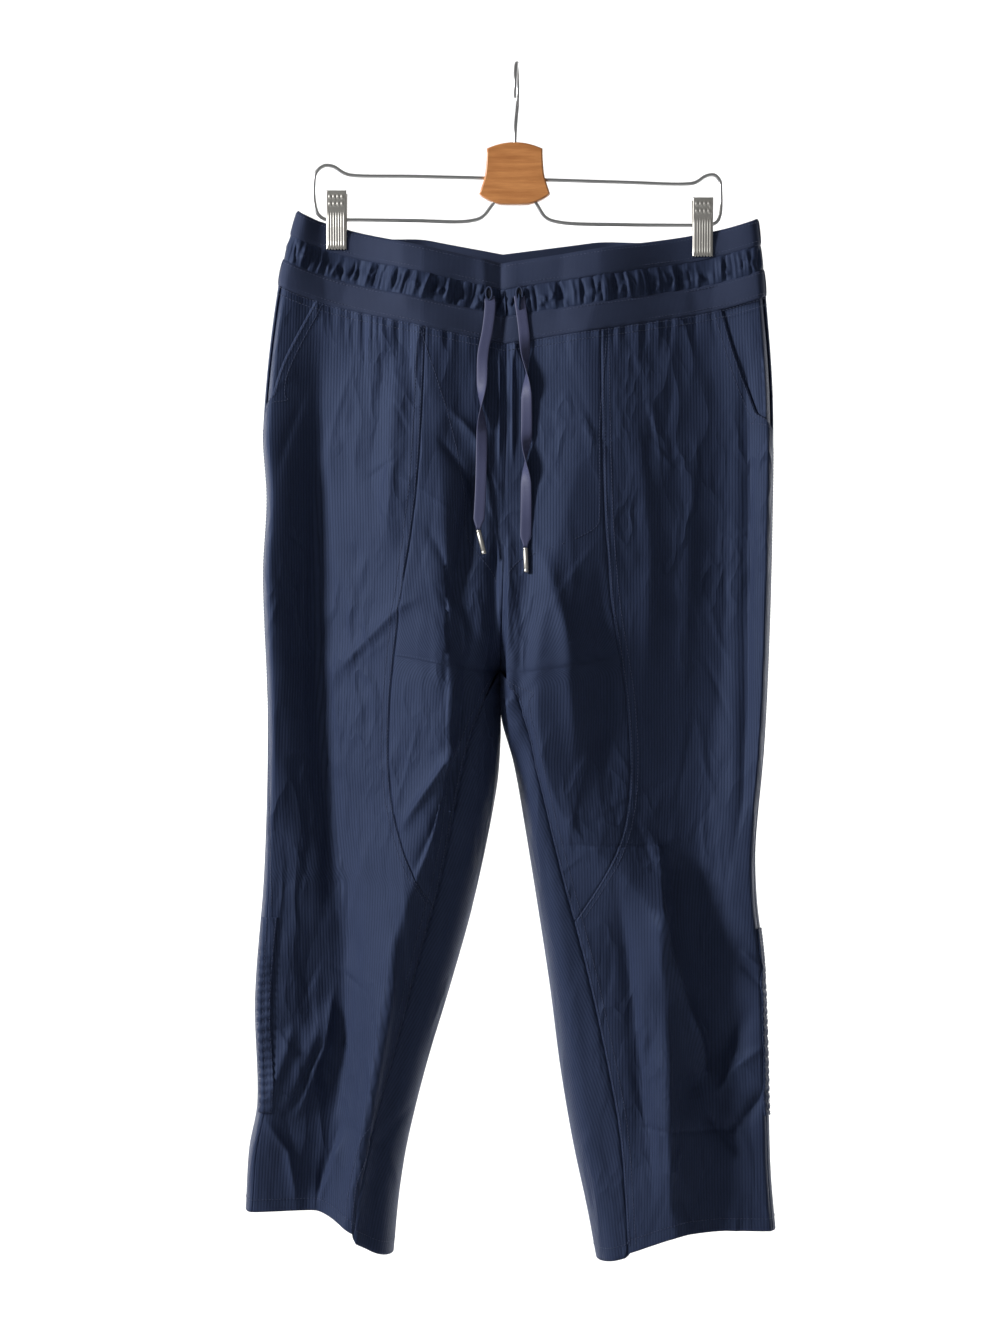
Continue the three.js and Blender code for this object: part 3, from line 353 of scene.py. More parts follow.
def one_fold(fold, line, x, z):
    lengths = np.hypot(*(line[1:] - line[:-1]).T)
    done = np.r_[0, np.cumsum(lengths)]
    best = np.full(x.shape, 1e9)
    side = np.zeros(x.shape)
    along = np.zeros(x.shape)
    for i, (start, end) in enumerate(zip(line[:-1], line[1:])):
        way = (end - start) / lengths[i]
        t = (x - start[0]) * way[0] + (z - start[1]) * way[1]
        held = np.clip(t, 0, lengths[i])
        away = np.hypot(x - start[0] - held * way[0], z - start[1] - held * way[1])
        closer = away < best
        best = np.where(closer, away, best)
        cross = (x - start[0]) * way[1] - (z - start[1]) * way[0]
        side = np.where(closer, np.sign(cross), side)
        along = np.where(closer, done[i] + held, along)
    share = along / done[-1]
    width = np.where(side > 0, fold["left"], fold["right"])
    profile = np.exp(-(np.sqrt(best * best + fold["round"] ** 2) - fold["round"]) / (0.62 * width))
    rise, fall = fold.get("fade", (0.3, 0.65))
    return fold["height"] * profile * smooth_between(0, rise, share) ** 0.7 * smooth_between(1, fall, share) ** 0.7


def ripple(x, z, size, seed):
    """Gentle unevenness: a sum of waves that never repeats over the cloth."""
    total = np.zeros(x.shape)
    for i in range(5):
        turn = TAU * jitter(seed, i)
        pitch = size * (0.6 + 0.9 * jitter(seed, i, 2))
        total += np.sin((x * math.cos(turn) + 0.55 * z * math.sin(turn)) * TAU / pitch + TAU * jitter(seed, i, 4))
    return total / 5


# ---------- the cloth surface ----------
def wall(start, end, t):
    return lerp(start, end, lerp(t, smooth(t), 0.6))


def closing(v):
    t = np.clip((v - CROTCH_START_V) / (CROTCH_V - CROTCH_START_V), 0, 1)
    return 1 - np.sqrt(1 - t * t)


def depth_between(half, v, x, cap_end, turn_start, shape):
    """The depth along a section's middle stretch: edge, valley under the clip, crest, inner turn."""
    valley_x = column(shape, "v", v, "valley_x") * half.dir
    valley_half = np.maximum(column(shape, "v", v, "valley_half"), 0)
    depth = {name: column(shape, "v", v, name) for name in ("edge", "valley", "crest", "inner")}
    stops = [
        (cap_end * half.dir, depth["edge"]),
        (valley_x - valley_half, depth["valley"]),
        (valley_x + valley_half + 0.01, depth["valley"]),
        (column(shape, "v", v, "crest_x") * half.dir, depth["crest"]),
        (turn_start * half.dir + 0.01, depth["inner"]),
    ]
    at = x * half.dir
    result = stops[0][1].copy()
    for (low, low_depth), (high, high_depth) in zip(stops, stops[1:]):
        t = np.clip((at - low) / (high - low), 0, 1)
        result = np.where(at > low, wall(low_depth, high_depth, t), result)
    return result


def side_points(half, a, v, is_front):
    shape = half.front if is_front else half.back
    z_outer = np.interp(v, half.levels["v"], half.levels["z_outer"])
    z_inner = np.interp(v, half.levels["v"], half.levels["z_inner"])
    x_outer = column(half.outer, "z", z_outer, "x")
    x_inner = column(half.inner, "z", z_inner, "x")
    touching = smooth_between(CROTCH_V, CROTCH_V + 0.003, v) * smooth_between(CROTCH_V + 0.05, CROTCH_V + 0.03, v)
    x_inner = x_inner + half.dir * THIGH_PRESS * touching
    edge, inner, run = (column(shape, "v", v, name) for name in ("edge", "inner", "run"))
    cap_end = x_outer + half.dir * CAP_RUN
    turn_start = x_inner - half.dir * run

    cap_angle = a / CAP_P * TAU / 4
    turn_angle = (a - INNER_P) / (1 - INNER_P) * TAU / 4
    middle = lerp(cap_end, turn_start, (a - CAP_P) / (INNER_P - CAP_P))
    in_cap, in_turn = a < CAP_P, a >= INNER_P
    x = np.where(in_cap, lerp(x_outer, cap_end, 1 - np.cos(cap_angle)), middle)
    x = np.where(in_turn, lerp(turn_start, x_inner, np.sin(turn_angle)), x)
    depth = depth_between(half, v, x, cap_end, turn_start, shape)
    depth = np.where(in_cap, edge * np.sin(cap_angle), depth)
    depth = np.where(in_turn, inner * (1 - closing(v) * (1 - np.cos(turn_angle))), depth)

    across = (x - x_outer) / (x_inner - x_outer)
    sag = lerp(np.maximum(across, 0) ** 0.72, smooth_between(0.45, 1, across), smooth_between(0, 0.5, v))
    z = lerp(z_outer, z_inner, sag)
    if not is_front:
        z = z + BACK_RISE * np.clip(1 - v / CROTCH_V, 0, 1) * smooth_between(0.35, 0.65, across)
    return np.stack([x, -depth if is_front else depth, z], -1)


def surface(half, p, v):
    p, v = np.broadcast_arrays(np.asarray(p, float), np.asarray(v, float))
    p = np.where(p < -1, p + 2, p)
    points = np.empty(p.shape + (3,))
    for is_front in (True, False):
        here = (p >= 0) == is_front
        if here.any():
            points[here] = side_points(half, np.abs(p[here]), v[here], is_front)
    return points


STEP = 0.004


def normals(half, p, v):
    low_p = np.where(v < CROTCH_V, np.maximum(p - STEP, -1), p - STEP)
    along_p = surface(half, np.minimum(p + STEP, 1), v) - surface(half, low_p, v)
    along_v = surface(half, p, np.minimum(v + STEP, 1)) - surface(half, p, np.maximum(v - STEP, WAIST_V))
    normal = np.cross(along_v, along_p) * half.dir
    return normal / np.linalg.norm(normal, axis=-1, keepdims=True)


BAND_FOLDS = [
    dict(line=[(-14, -120), (-14, -262)], height=-4.5, left=16, right=9, round=1),
    dict(line=[(-30, -150), (-26, -235)], height=2, left=8, right=8, round=3),
    dict(line=[(40, -150), (34, -235)], height=-1.6, left=12, right=12, round=4),
    dict(line=[(-100, -140), (-92, -225)], height=1.6, left=12, right=12, round=4),
]


def detail(half, p, v, points):
    """How far the folds lift the cloth off the plain surface."""
    p = np.where(p < -1, p + 2, p)
    a = np.abs(p)
    x, z = points[..., 0], points[..., 2]
    height = np.where(p >= 0, fold_height(FRONT_FOLDS, x, z), fold_height(BACK_FOLDS, x, z))
    height = height + 1.1 * ripple(x, z, 90, 1 if half is LEFT else 2) + 0.45 * ripple(x, z, 34, 3)
    legs = smooth_between(CROTCH_START_V, CROTCH_START_V + 0.06, v)
    fade = smooth_between(0.02, 1.4 * CAP_P, a) * (1 - legs * (1 - smooth_between(1, 0.86, a)))
    bands = fold_height(BAND_FOLDS, x, z) * (p >= 0) * smooth_between(0.03, -0.004, v)
    return height * fade * smooth_between(-0.004, 0.006, v) + bands


def hem_drop(half, p, v):
    """The back panel's strip inside the inseam hangs a little lower at the hem."""
    low = v > 0.9
    drop = np.zeros(v.shape)
    if low.any():
        seam = np.interp(v[low], half.hem_v, half.hem_p)
        round_p = np.where(p[low] < -1, p[low] + 2, p[low])
        inner = np.where(round_p >= 0, smooth_between(seam - 0.0005, seam + 0.0005, round_p), smooth_between(-0.45, -0.9, round_p))
        drop[low] = half.hem_step * inner * smooth_between(0.93, 1, v[low])
    return drop


def place(half, p, v, lift=0):
    """Points of the folded cloth, moved out by lift."""
    p, v = np.broadcast_arrays(np.asarray(p, float), np.asarray(v, float))
    points = surface(half, p, v)
    folded = detail(half, p, v, points)
    normal = normals(half, p, v)
    moved = points + normal * (folded + lift)[..., None]
    moved[..., 2] -= hem_drop(half, p, v)
    # the halves still meet at the centre seam, however deep it is folded
    seam = smooth_between(0.96, 1, np.abs(p)) * (v < CROTCH_V + 0.03)
    moved[..., 0] -= normal[..., 0] * folded * seam
    return moved


def step_along(half, p, v, distance):
    """The p that lies a distance further along the section."""
    floor = np.where(np.asarray(v) < CROTCH_V, -1, -1.6)
    low, high = np.maximum(p - 0.01, floor), np.minimum(p + 0.01, 1)
    per_p = np.linalg.norm(surface(half, high, v) - surface(half, low, v), axis=-1) / (high - low)
    return np.clip(p + distance / per_p, floor, 1)


def p_on_line(half, v, line):
    """The p where the front of each section crosses a seam line."""
    v = np.asarray(v, float)
    low, high = np.full(v.shape, 0.02), np.ones(v.shape)
    for _ in range(30):
        middle = (low + high) / 2
        point = surface(half, middle, v)
        past = half.dir * (point[..., 0] - column(line, "z", point[..., 2], "x")) > 0
        low, high = np.where(past, low, middle), np.where(past, middle, high)
    return (low + high) / 2


def side_seam_p(half, v):
    return column(half.side_seam, "v", v, "p")


def inseam_p(half, v):
    return np.where(v <= CROTCH_V, 1.0, p_on_line(half, v, half.inseam))


def princess_p(half, v):
    return p_on_line(half, v, half.princess)


for half in HALVES:
    half.hem_v = np.linspace(0.9, 1, 21)
    half.hem_p = inseam_p(half, half.hem_v)


def knee_v(half):
    """Where the princess seam runs into the inseam."""
    v = np.linspace(CROTCH_V, 1, 500)
    meets = princess_p(half, v) > inseam_p(half, v) - 0.006
    return v[np.argmax(meets)]


def pocket_p(half, v):
    return p_on_line(half, v, half.pocket)


def outer_edge_p(half, v):
    side = side_seam_p(half, v)
    opening = np.maximum(pocket_p(half, v), side)
    return lerp(opening, side, smooth_between(half.pocket_end - 0.03, half.pocket_end, v))


# ---------- meshes ----------
def mesh_object(name, points, faces, material, uv=None):
    """points in millimetres; uv is a place on the flat cloth in metres for each point."""
    mesh = bpy.data.meshes.new(name)
    mesh.from_pydata((np.asarray(points) * MM).tolist(), [], np.asarray(faces).tolist())
    mesh.materials.append(material)
    if uv is not None:
        layer = mesh.uv_layers.new(name="Cloth")
        corner = np.empty(len(mesh.loops), np.int32)
        mesh.loops.foreach_get("vertex_index", corner)
        layer.data.foreach_set("uv", np.asarray(uv)[corner].astype(np.float32).ravel())
    mesh.polygons.foreach_set("use_smooth", np.ones(len(mesh.polygons), bool))
    mesh.update()
    piece = bpy.data.objects.new(name, mesh)
    bpy.context.scene.collection.objects.link(piece)
    return piece


def shell(name, outside, inside, material, uv):
    """A closed thin shell between two grids of points of one shape, (rows, columns, 3)."""
    rows, columns = outside.shape[:2]
    index = np.arange(rows * columns).reshape(rows, columns)
    back = index + rows * columns

    def quads(a, b, c, d):
        return np.stack([a.ravel(), b.ravel(), c.ravel(), d.ravel()], -1)

    faces = [
        quads(index[:-1, :-1], index[1:, :-1], index[1:, 1:], index[:-1, 1:]),
        quads(back[:-1, :-1], back[:-1, 1:], back[1:, 1:], back[1:, :-1]),
        quads(index[:-1, 0], back[:-1, 0], back[1:, 0], index[1:, 0]),
        quads(index[:-1, -1], index[1:, -1], back[1:, -1], back[:-1, -1]),
        quads(index[0, :-1], index[0, 1:], back[0, 1:], back[0, :-1]),
        quads(index[-1, :-1], back[-1, :-1], back[-1, 1:], index[-1, 1:]),
    ]
    faces = np.concatenate(faces)
    if facing_in(outside, inside):
        faces = faces[:, ::-1]
    both_uv = np.concatenate([uv.reshape(-1, 2)] * 2)
    points = np.concatenate([outside.reshape(-1, 3), inside.reshape(-1, 3)])
    return mesh_object(name, points, faces, material, both_uv)


def facing_in(outside, inside):
    i, j = outside.shape[0] // 2, outside.shape[1] // 2
    normal = np.cross(outside[i + 1, j] - outside[i, j], outside[i, j + 1] - outside[i, j])
    return np.dot(normal, outside[i, j] - inside[i, j]) < 0


def flat_uv(points):
    """Each point's place on the cloth laid flat, in metres: from its row's far edge, and down its column."""
    across = np.linalg.norm(np.diff(points, axis=1), axis=-1)
    down = np.linalg.norm(np.diff(points, axis=0), axis=-1)
    across = np.pad(np.cumsum(across, 1), ((0, 0), (1, 0)))
    down = np.pad(np.cumsum(down, 0), ((1, 0), (0, 0)))
    way = np.sign(points[:, -1:, 0] - points[:, :1, 0])
    return np.stack([points[:, -1:, 0] + way * (across - across[:, -1:]), down], -1) * MM


def edge_dip(points, reach=1.4, drop=0.8, sides=(1, 1)):
    """How far the cloth rolls down towards the seams at its two side edges."""
    across = np.linalg.norm(np.diff(points, axis=1), axis=-1)
    start = np.pad(np.cumsum(across, 1), ((0, 0), (1, 0)))
    end = start[:, -1:] - start
    dip = np.zeros(start.shape)
    for weight, distance in zip(sides, (start, end)):
        dip += weight * np.exp(-distance / reach)
    return -drop * dip


def spread(count, crowd=0.25):
    """Shares from 0 to 1, closer together near both ends."""
    t = np.linspace(0, 1, count + 1)
    return lerp(t, smooth(t), crowd)


def panel(name, half, v_rows, columns, p_from, p_to, material, thick=PANEL_THICK, lift=0, sides=(1, 1), turn=False):
    v = np.asarray(v_rows, float)[:, None]
    start, end = p_from(v[:, 0])[:, None], p_to(v[:, 0])[:, None]
    share = spread(columns)[None, :]
    p = lerp(start, end, share)
    if turn:  # the columns short of the inner turn keep their places
        kept = 0.72
        p = np.where(share < kept, lerp(start, -INNER_P, share / kept), lerp(-INNER_P, end, (share - kept) / (1 - kept)))
    v = np.broadcast_to(v, p.shape)
    base = surface(half, p, v)
    if sides[1]:  # no dip where the halves turn back to meet each other
        meeting = smooth_between(CROTCH_START_V - 0.05, CROTCH_START_V, v) * smooth_between(CROTCH_V + 0.06, CROTCH_V + 0.02, v)
        sides = (sides[0], np.where(np.abs(end) > 0.999, 1 - meeting, 1) if not turn else 1 - meeting)
    rise = lift + edge_dip(base, sides=sides)
    outside = place(half, p, v, rise)
    inside = place(half, p, v, rise - thick)
    return shell(name, outside, inside, material, flat_uv(base))


# ---------- materials ----------
def material(name, colour, roughness, **sockets):
    made = bpy.data.materials.new(name)
    made.use_nodes = True
    shader = made.node_tree.nodes["Principled BSDF"]
    shader.inputs["Base Color"].default_value = (*colour, 1)
    shader.inputs["Roughness"].default_value = roughness
    for socket, value in sockets.items():
        shader.inputs[socket.replace("_", " ")].default_value = value
    return made, shader


class Nodes:
    """Short calls for building a material's nodes."""

    def __init__(self, made):
        self.tree = made.node_tree

    def add(self, kind, **settings):
        node = self.tree.nodes.new("ShaderNode" + kind)
        for name, value in settings.items():
            setattr(node, name, value)
        return node

    def link(self, output, socket):
        self.tree.links.new(output, socket)

    def maths(self, operation, a, b=0.0):
        node = self.add("Math", operation=operation)
        for socket, value in zip(node.inputs, (a, b)):
            if isinstance(value, (int, float)):
                socket.default_value = value
            else:
                self.link(value, socket)
        return node.outputs[0]

    def mix(self, share, a, b):
        node = self.add("Mix", data_type="RGBA")
        for socket, value in ((node.inputs[0], share), (node.inputs[6], a), (node.inputs[7], b)):
            if isinstance(value, tuple):
                socket.default_value = (*value, 1)
            elif isinstance(value, float):
                socket.default_value = value
            else:
                self.link(value, socket)
        return node.outputs[2]

    def noise(self, scale, detail=3.0, vector=None, roughness=0.5):
        node = self.add("TexNoise")
        node.inputs["Scale"].default_value = scale
        node.inputs["Detail"].default_value = detail
        node.inputs["Roughness"].default_value = roughness
        if vector is not None:
            self.link(vector, node.inputs["Vector"])
        return node.outputs["Fac"]

    def bump(self, height, strength, distance, shader, normal=None):
        node = self.add("Bump")
        node.inputs["Strength"].default_value = strength
        node.inputs["Distance"].default_value = distance
        self.link(height, node.inputs["Height"])
        if normal is not None:
            self.link(normal, node.inputs["Normal"])
        self.link(node.outputs[0], shader.inputs["Normal"])
        return node.outputs[0]


def creasing(n, coords, scale, height, sharpness):
    """Long thin creases, in metres high: a noise's middle contour, and only in patches."""
    place_at = n.add("Mapping")
    place_at.inputs["Scale"].default_value = scale
    place_at.inputs["Rotation"].default_value = (0, 0.2, 0)
    n.link(coords.outputs["Object"], place_at.inputs["Vector"])
    wave = n.noise(1.0, 2.5, place_at.outputs[0], 0.45)
    away = n.maths("ABSOLUTE", n.maths("SUBTRACT", wave, 0.5))
    ridge = n.maths("MAXIMUM", n.maths("SUBTRACT", 1.0, n.maths("MULTIPLY", away, 2 * sharpness)), 0.0)
    patch = n.add("MapRange")
    n.link(n.noise(0.45, 1.0, place_at.outputs[0]), patch.inputs["Value"])
    patch.inputs["From Min"].default_value, patch.inputs["From Max"].default_value = 0.42, 0.6
    return n.maths("MULTIPLY", n.maths("MULTIPLY", ridge, patch.outputs[0]), height)


def woven_cloth(name, colour, groove_shade, rib_pitch, rib_depth, crumple=1.0):
    """Light woven nylon with fine ribs down the grain, and a plain weave between them."""
    made, shader = material(name, colour, 0.6, Sheen_Weight=0.05, Sheen_Roughness=0.4, Specular_IOR_Level=0.16)
    shader.inputs["Sheen Tint"].default_value = (0.4, 0.52, 1, 1)
    shader.inputs["Specular Tint"].default_value = (0.5, 0.65, 1, 1)
    n = Nodes(made)
    coords = n.add("TexCoord")
    split = n.add("SeparateXYZ")
    n.link(coords.outputs["UV"], split.inputs[0])
    across, down = split.outputs[0], split.outputs[1]
    wander = n.maths("MULTIPLY", n.noise(9, 2.0, coords.outputs["Object"]), rib_pitch * 1.2)
    turn = n.maths("MULTIPLY", n.maths("ADD", across, wander), TAU / rib_pitch)
    ribs = n.maths("POWER", n.maths("ABSOLUTE", n.maths("SINE", n.maths("MULTIPLY", turn, 0.5))), 0.6)
    weave_pitch = 0.0007
    warp = n.maths("SINE", n.maths("MULTIPLY", across, TAU / weave_pitch))
    weft = n.maths("SINE", n.maths("MULTIPLY", down, TAU / weave_pitch))
    weave = n.maths("MULTIPLY", warp, weft)
    fine = n.maths("ADD", ribs, n.maths("MULTIPLY", weave, 0.12))
    creases = n.maths("ADD", creasing(n, coords, (17, 17, 5.2), 0.0026, 5.5), creasing(n, coords, (38, 38, 15), 0.0012, 5))
    n.bump(n.maths("ADD", n.maths("MULTIPLY", fine, rib_depth * 0.5), creases), crumple, 1.0, shader)
    patch = n.noise(14, 4.0, coords.outputs["Object"])
    light = n.mix(patch, tuple(c * 0.9 for c in colour), tuple(c * 1.12 for c in colour))
    # the colour runs from the patchy cloth colour on the rib crests to the darker colour in the grooves: painted shade
    n.link(n.mix(ribs, groove_shade, light), shader.inputs["Base Color"])
    return made


def knit_band(name, colour):
    made, shader = material(name, colour, 0.75, Sheen_Weight=0.04, Sheen_Roughness=0.5, Specular_IOR_Level=0.15)
    shader.inputs["Sheen Tint"].default_value = (0.5, 0.58, 0.9, 1)
    n = Nodes(made)
    coords = n.add("TexCoord")
    split = n.add("SeparateXYZ")
    n.link(coords.outputs["UV"], split.inputs[0])
    wale = n.maths("ABSOLUTE", n.maths("SINE", n.maths("MULTIPLY", split.outputs[0], math.pi / 0.0011)))
    course = n.maths("SINE", n.maths("MULTIPLY", split.outputs[1], TAU / 0.0009))
    height = n.maths("ADD", wale, n.maths("MULTIPLY", course, 0.3))
    n.bump(height, 0.4, 0.00015, shader)
    patch = n.noise(30, 3.0, coords.outputs["Object"])
    n.link(n.mix(patch, tuple(c * 0.85 for c in colour), tuple(c * 1.15 for c in colour)), shader.inputs["Base Color"])
    return made


def tape_cloth(name, colour):
    made, shader = material(name, colour, 0.52, Sheen_Weight=0.1, Sheen_Roughness=0.3, Specular_IOR_Level=0.3)
    n = Nodes(made)
    coords = n.add("TexCoord")
    split = n.add("SeparateXYZ")
    n.link(coords.outputs["UV"], split.inputs[0])
    rib = n.maths("ABSOLUTE", n.maths("SINE", n.maths("MULTIPLY", split.outputs[0], math.pi / 0.0009)))
    pick = n.maths("SINE", n.maths("MULTIPLY", split.outputs[1], TAU / 0.0011))
    n.bump(n.maths("ADD", rib, n.maths("MULTIPLY", pick, 0.5)), 0.45, 0.00012, shader)
    # darker where the rib bump is low: painted shade in the grooves
    n.link(n.mix(rib, tuple(c * 0.75 for c in colour), colour), shader.inputs["Base Color"])
    return made


def yarn(name, colour, roughness, pitch):
    """Spun thread: its height changes with the strands, pitch metres apart, and its colour with them, darker where they
    are low and lighter where they are high: painted shade and light.
    """
    made, shader = material(name, colour, roughness, Sheen_Weight=0.08, Specular_IOR_Level=0.2)
    n = Nodes(made)
    coords = n.add("TexCoord")
    strand = n.noise(1 / pitch, 2.0, coords.outputs["Object"])
    n.bump(strand, 0.4, 0.0001, shader)
    n.link(n.mix(strand, tuple(c * 0.7 for c in colour), tuple(c * 1.3 for c in colour)), shader.inputs["Base Color"])
    return made


def plain_metal(name, colour, roughness, scratch):
    made, shader = material(name, colour, roughness, Metallic=1.0)
    n = Nodes(made)
    coords = n.add("TexCoord")
    fine = n.noise(900, 2.0, coords.outputs["Object"])
    wide = n.noise(60, 3.0, coords.outputs["Object"])
    mixed = n.maths("ADD", n.maths("MULTIPLY", fine, scratch), n.maths("MULTIPLY", wide, scratch))
    n.link(n.maths("ADD", mixed, roughness - scratch), shader.inputs["Roughness"])
    n.bump(fine, 0.08, 0.0001, shader)
    n.link(n.mix(wide, tuple(c * 0.9 for c in colour), colour), shader.inputs["Base Color"])
    return made


def varnished_wood(name):
    made, shader = material(name, (0.5, 0.2, 0.06), 0.4, Coat_Weight=0.3, Coat_Roughness=0.25)
    n = Nodes(made)
    coords = n.add("TexCoord")
    stretch = n.add("Mapping")
    stretch.inputs["Scale"].default_value = (14, 30, 120)
    n.link(coords.outputs["Object"], stretch.inputs["Vector"])
    grain = n.noise(1.4, 6.0, stretch.outputs[0], 0.6)
    pores = n.noise(9.0, 2.0, stretch.outputs[0], 0.7)
    ramp = n.add("ValToRGB")
    ramp.color_ramp.elements[0].position, ramp.color_ramp.elements[0].color = 0.3, (0.36, 0.125, 0.03, 1)
    ramp.color_ramp.elements[1].position, ramp.color_ramp.elements[1].color = 0.7, (0.62, 0.27, 0.085, 1)
    n.link(grain, ramp.inputs[0])
    n.link(n.mix(n.maths("MULTIPLY", pores, 0.35), ramp.outputs[0], (0.25, 0.08, 0.02)), shader.inputs["Base Color"])
    n.bump(n.maths("ADD", grain, pores), 0.12, 0.0003, shader)
    return made


NAVY = (0.0228, 0.0318, 0.0665)
# the second colour is painted shade for the rib grooves
CLOTH = woven_cloth("woven_nylon", NAVY, tuple(c * 0.55 for c in NAVY), 0.0026, 0.00035)
CHANNEL_CLOTH = woven_cloth("ruched_nylon", tuple(c * 0.85 for c in NAVY), tuple(c * 0.6 for c in NAVY), 0.0026, 0.00015, 0.3)
BAND_CLOTH = knit_band("knitted_band", tuple(c * 0.9 for c in NAVY))
TAPE = tape_cloth("cord_tape", (0.052, 0.058, 0.122))
THREAD = yarn("thread", tuple(c * 1.35 for c in NAVY), 0.6, 0.0006)
# near black: painted shade for the inside of the buttonholes
HOLE_SHADE = yarn("buttonhole_painted_shade", (0.006, 0.008, 0.016), 0.9, 0.0012)
NICKEL = plain_metal("satin_nickel", (0.5, 0.485, 0.45), 0.42, 0.05)
CHROME = plain_metal("plated_wire", (0.5, 0.5, 0.5), 0.3, 0.04)
WOOD = varnished_wood("varnished_wood")


# ---------- cloth pieces ----------
ROW_STEP = 0.0022
BACK_ROW_STEP = 0.0044


def rows(start, end, step=ROW_STEP):
    return np.linspace(start, end, max(2, int(round((end - start) / step))) + 1)


TUCK_V = -0.003  # the panels run up under the band


def finish_piece(piece, node):
    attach(piece, "root")
    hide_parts(node)
    return piece


PIECES = {}
for half in HALVES:
    knee = knee_v(half)
    side = lambda v, h=half: side_seam_p(h, v)
    outer = lambda v, h=half: outer_edge_p(h, v)
    front_end = lambda v, h=half, k=knee: np.where(v <= k, princess_p(h, v), inseam_p(h, v))
    back_end = lambda v, h=half: np.where(v <= CROTCH_V, -1.0, inseam_p(h, v) - 2)
    PIECES["front_side_" + half.name] = panel(
        "front_side_" + half.name, half, rows(TUCK_V, 1), 74, outer, front_end, CLOTH
    )
    PIECES["front_centre_" + half.name] = panel(
        "front_centre_" + half.name, half, rows(TUCK_V, knee), 54,
        lambda v, h=half: princess_p(h, v), lambda v, h=half: inseam_p(h, v), CLOTH,
    )
    PIECES["back_" + half.name] = panel(
        "back_" + half.name, half, rows(TUCK_V, 1, BACK_ROW_STEP), 96, side, back_end, CLOTH, turn=True
    )
    PIECES["pocket_facing_" + half.name] = panel(
        "pocket_facing_" + half.name, half, rows(TUCK_V, half.pocket_end, BACK_ROW_STEP), 24, side,
        lambda v, h=half: step_along(h, outer_edge_p(h, v), v, lerp(FACING_UNDERLAP, 1, v / h.pocket_end)),
        CLOTH, thick=1, lift=-2.6, sides=(0, 0),
    )


def casing(half):
    """The drawn-up tape over the lower side seam, with its ripples."""
    v = rows(*half.casing)[:, None]
    width = 18
    share = np.linspace(-0.5, 0.5, width + 1)[None, :]
    middle = side_seam_p(half, v[:, 0])[:, None]
    per_mm = (step_along(half, middle, v, 1.0) - middle)
    p = middle + share * CASING_WIDTH * per_mm
    v = np.broadcast_to(v, p.shape)
    ripples = 0.5 * np.sin(v * V_TO_MM * TAU / 9 + 2.5 * share + 1.3 * np.sin(v * 60)) * (0.4 + np.abs(np.cos(share * TAU)))
    puffs = 0.5 * np.abs(np.sin(share * TAU)) - 0.3
    lift = 1.5 + puffs + ripples * smooth_between(half.casing[0], half.casing[0] + 0.08, v)
    outside, inside = place(half, p, v, lift), place(half, p, v, 0.2)
    return shell("side_casing_" + half.name, outside, inside, CLOTH, flat_uv(surface(half, p, v)))


for half in HALVES:
    PIECES["side_casing_" + half.name] = casing(half)

# ---------- waistband ----------
BANDS = [
    dict(name="waist_lower_band", low=0.001, high=-0.027, columns=120, rows=14, material=BAND_CLOTH),
    dict(name="waist_gathered_channel", low=-0.0255, high=-0.0545, columns=300, rows=30, material=CHANNEL_CLOTH),
    dict(name="waist_top_band", low=-0.053, high=WAIST_V, columns=120, rows=14, material=BAND_CLOTH),
]


def ruche_folds(seed):
    """Slanting folds, in millimetres along the channel and up it, all of different sizes."""
    folds = []
    at = 0
    while at < 1000:
        short = jitter(at, seed, 0) > 0.6
        low = 8 * jitter(at, seed, 1) if short else -8
        high = 13 + 10 * jitter(at, seed, 2) if short else 32
        lean = 9 * (jitter(at, seed, 3) - 0.5)
        bow = 5 * (jitter(at, seed, 4) - 0.5)
        height = lerp(1.2, 2.6, jitter(at, seed, 5)) * (1 if jitter(at, seed, 6) > 0.45 else -1.1)
        folds.append(
            dict(line=[(at, low), (at + lean / 2 + bow, (low + high) / 2), (at + lean, high)], height=height,
                 left=lerp(1.0, 2.6, jitter(at, seed, 7)), right=lerp(1.0, 2.6, jitter(at, seed, 8)), round=0.5)
        )
        at += lerp(1.8, 4.2, jitter(at, seed, 9))
    return folds


def ruching(distance, share, seed):
    """The height of the channel's drawn-up cloth, share of the way up it."""
    puff = np.sin(np.clip(share, 0, 1) * math.pi) ** 0.5
    up = 24 * share + 0 * distance
    along = distance + 0 * share
    slow = ripple(along, 3 * up, 46, seed) + 0.6 * ripple(along, 2 * up, 17, seed + 5)
    return puff * (1.6 + 0.6 * slow + fold_height(ruche_folds(seed), along, up))


def band_piece(band, is_front):
    """One strip, from side seam to side seam."""
    share = np.linspace(0, 1, band["rows"] + 1)[:, None]
    v = lerp(band["low"], band["high"], share)
    ends = {half.name: side_seam_p(half, v) for half in HALVES}
    centre = 1 if is_front else -1
    t = np.linspace(0, 1, (band["columns"] if is_front else band["columns"] // 2) + 1)[None, :]
    outside, inside = [], []
    for half in HALVES:
        p = lerp(ends[half.name], centre, t)
        vv = np.broadcast_to(v, p.shape)
        base = surface(half, p, vv)
        distance = np.cumsum(np.pad(np.linalg.norm(np.diff(base, axis=1), axis=-1), ((0, 0), (1, 0))), 1)
        distance = distance if half is LEFT else 800 - distance
        out = band_height(band, share, distance, base, is_front)
        points = place(half, p, vv, out)
        back = place(half, p, vv, -BAND_THICK + 0 * out)
        outside.append(points if half is LEFT else points[:, ::-1])
        inside.append(back if half is LEFT else back[:, ::-1])
    join = lambda parts: np.concatenate([parts[0], parts[1][:, 1:]], 1)
    outside, inside = join(outside), join(inside)
    name = f"{band['name']}_{'front' if is_front else 'back'}"
    return shell(name, outside, inside, band["material"], flat_uv(inside))


def clip_press(base):
    """1 under the clips' jaws, where the band is held flat."""
    x = base[..., 0]
    return np.maximum(np.exp(-(((x + 155) / 12) ** 4)), np.exp(-(((x - 159.5) / 12) ** 4)))


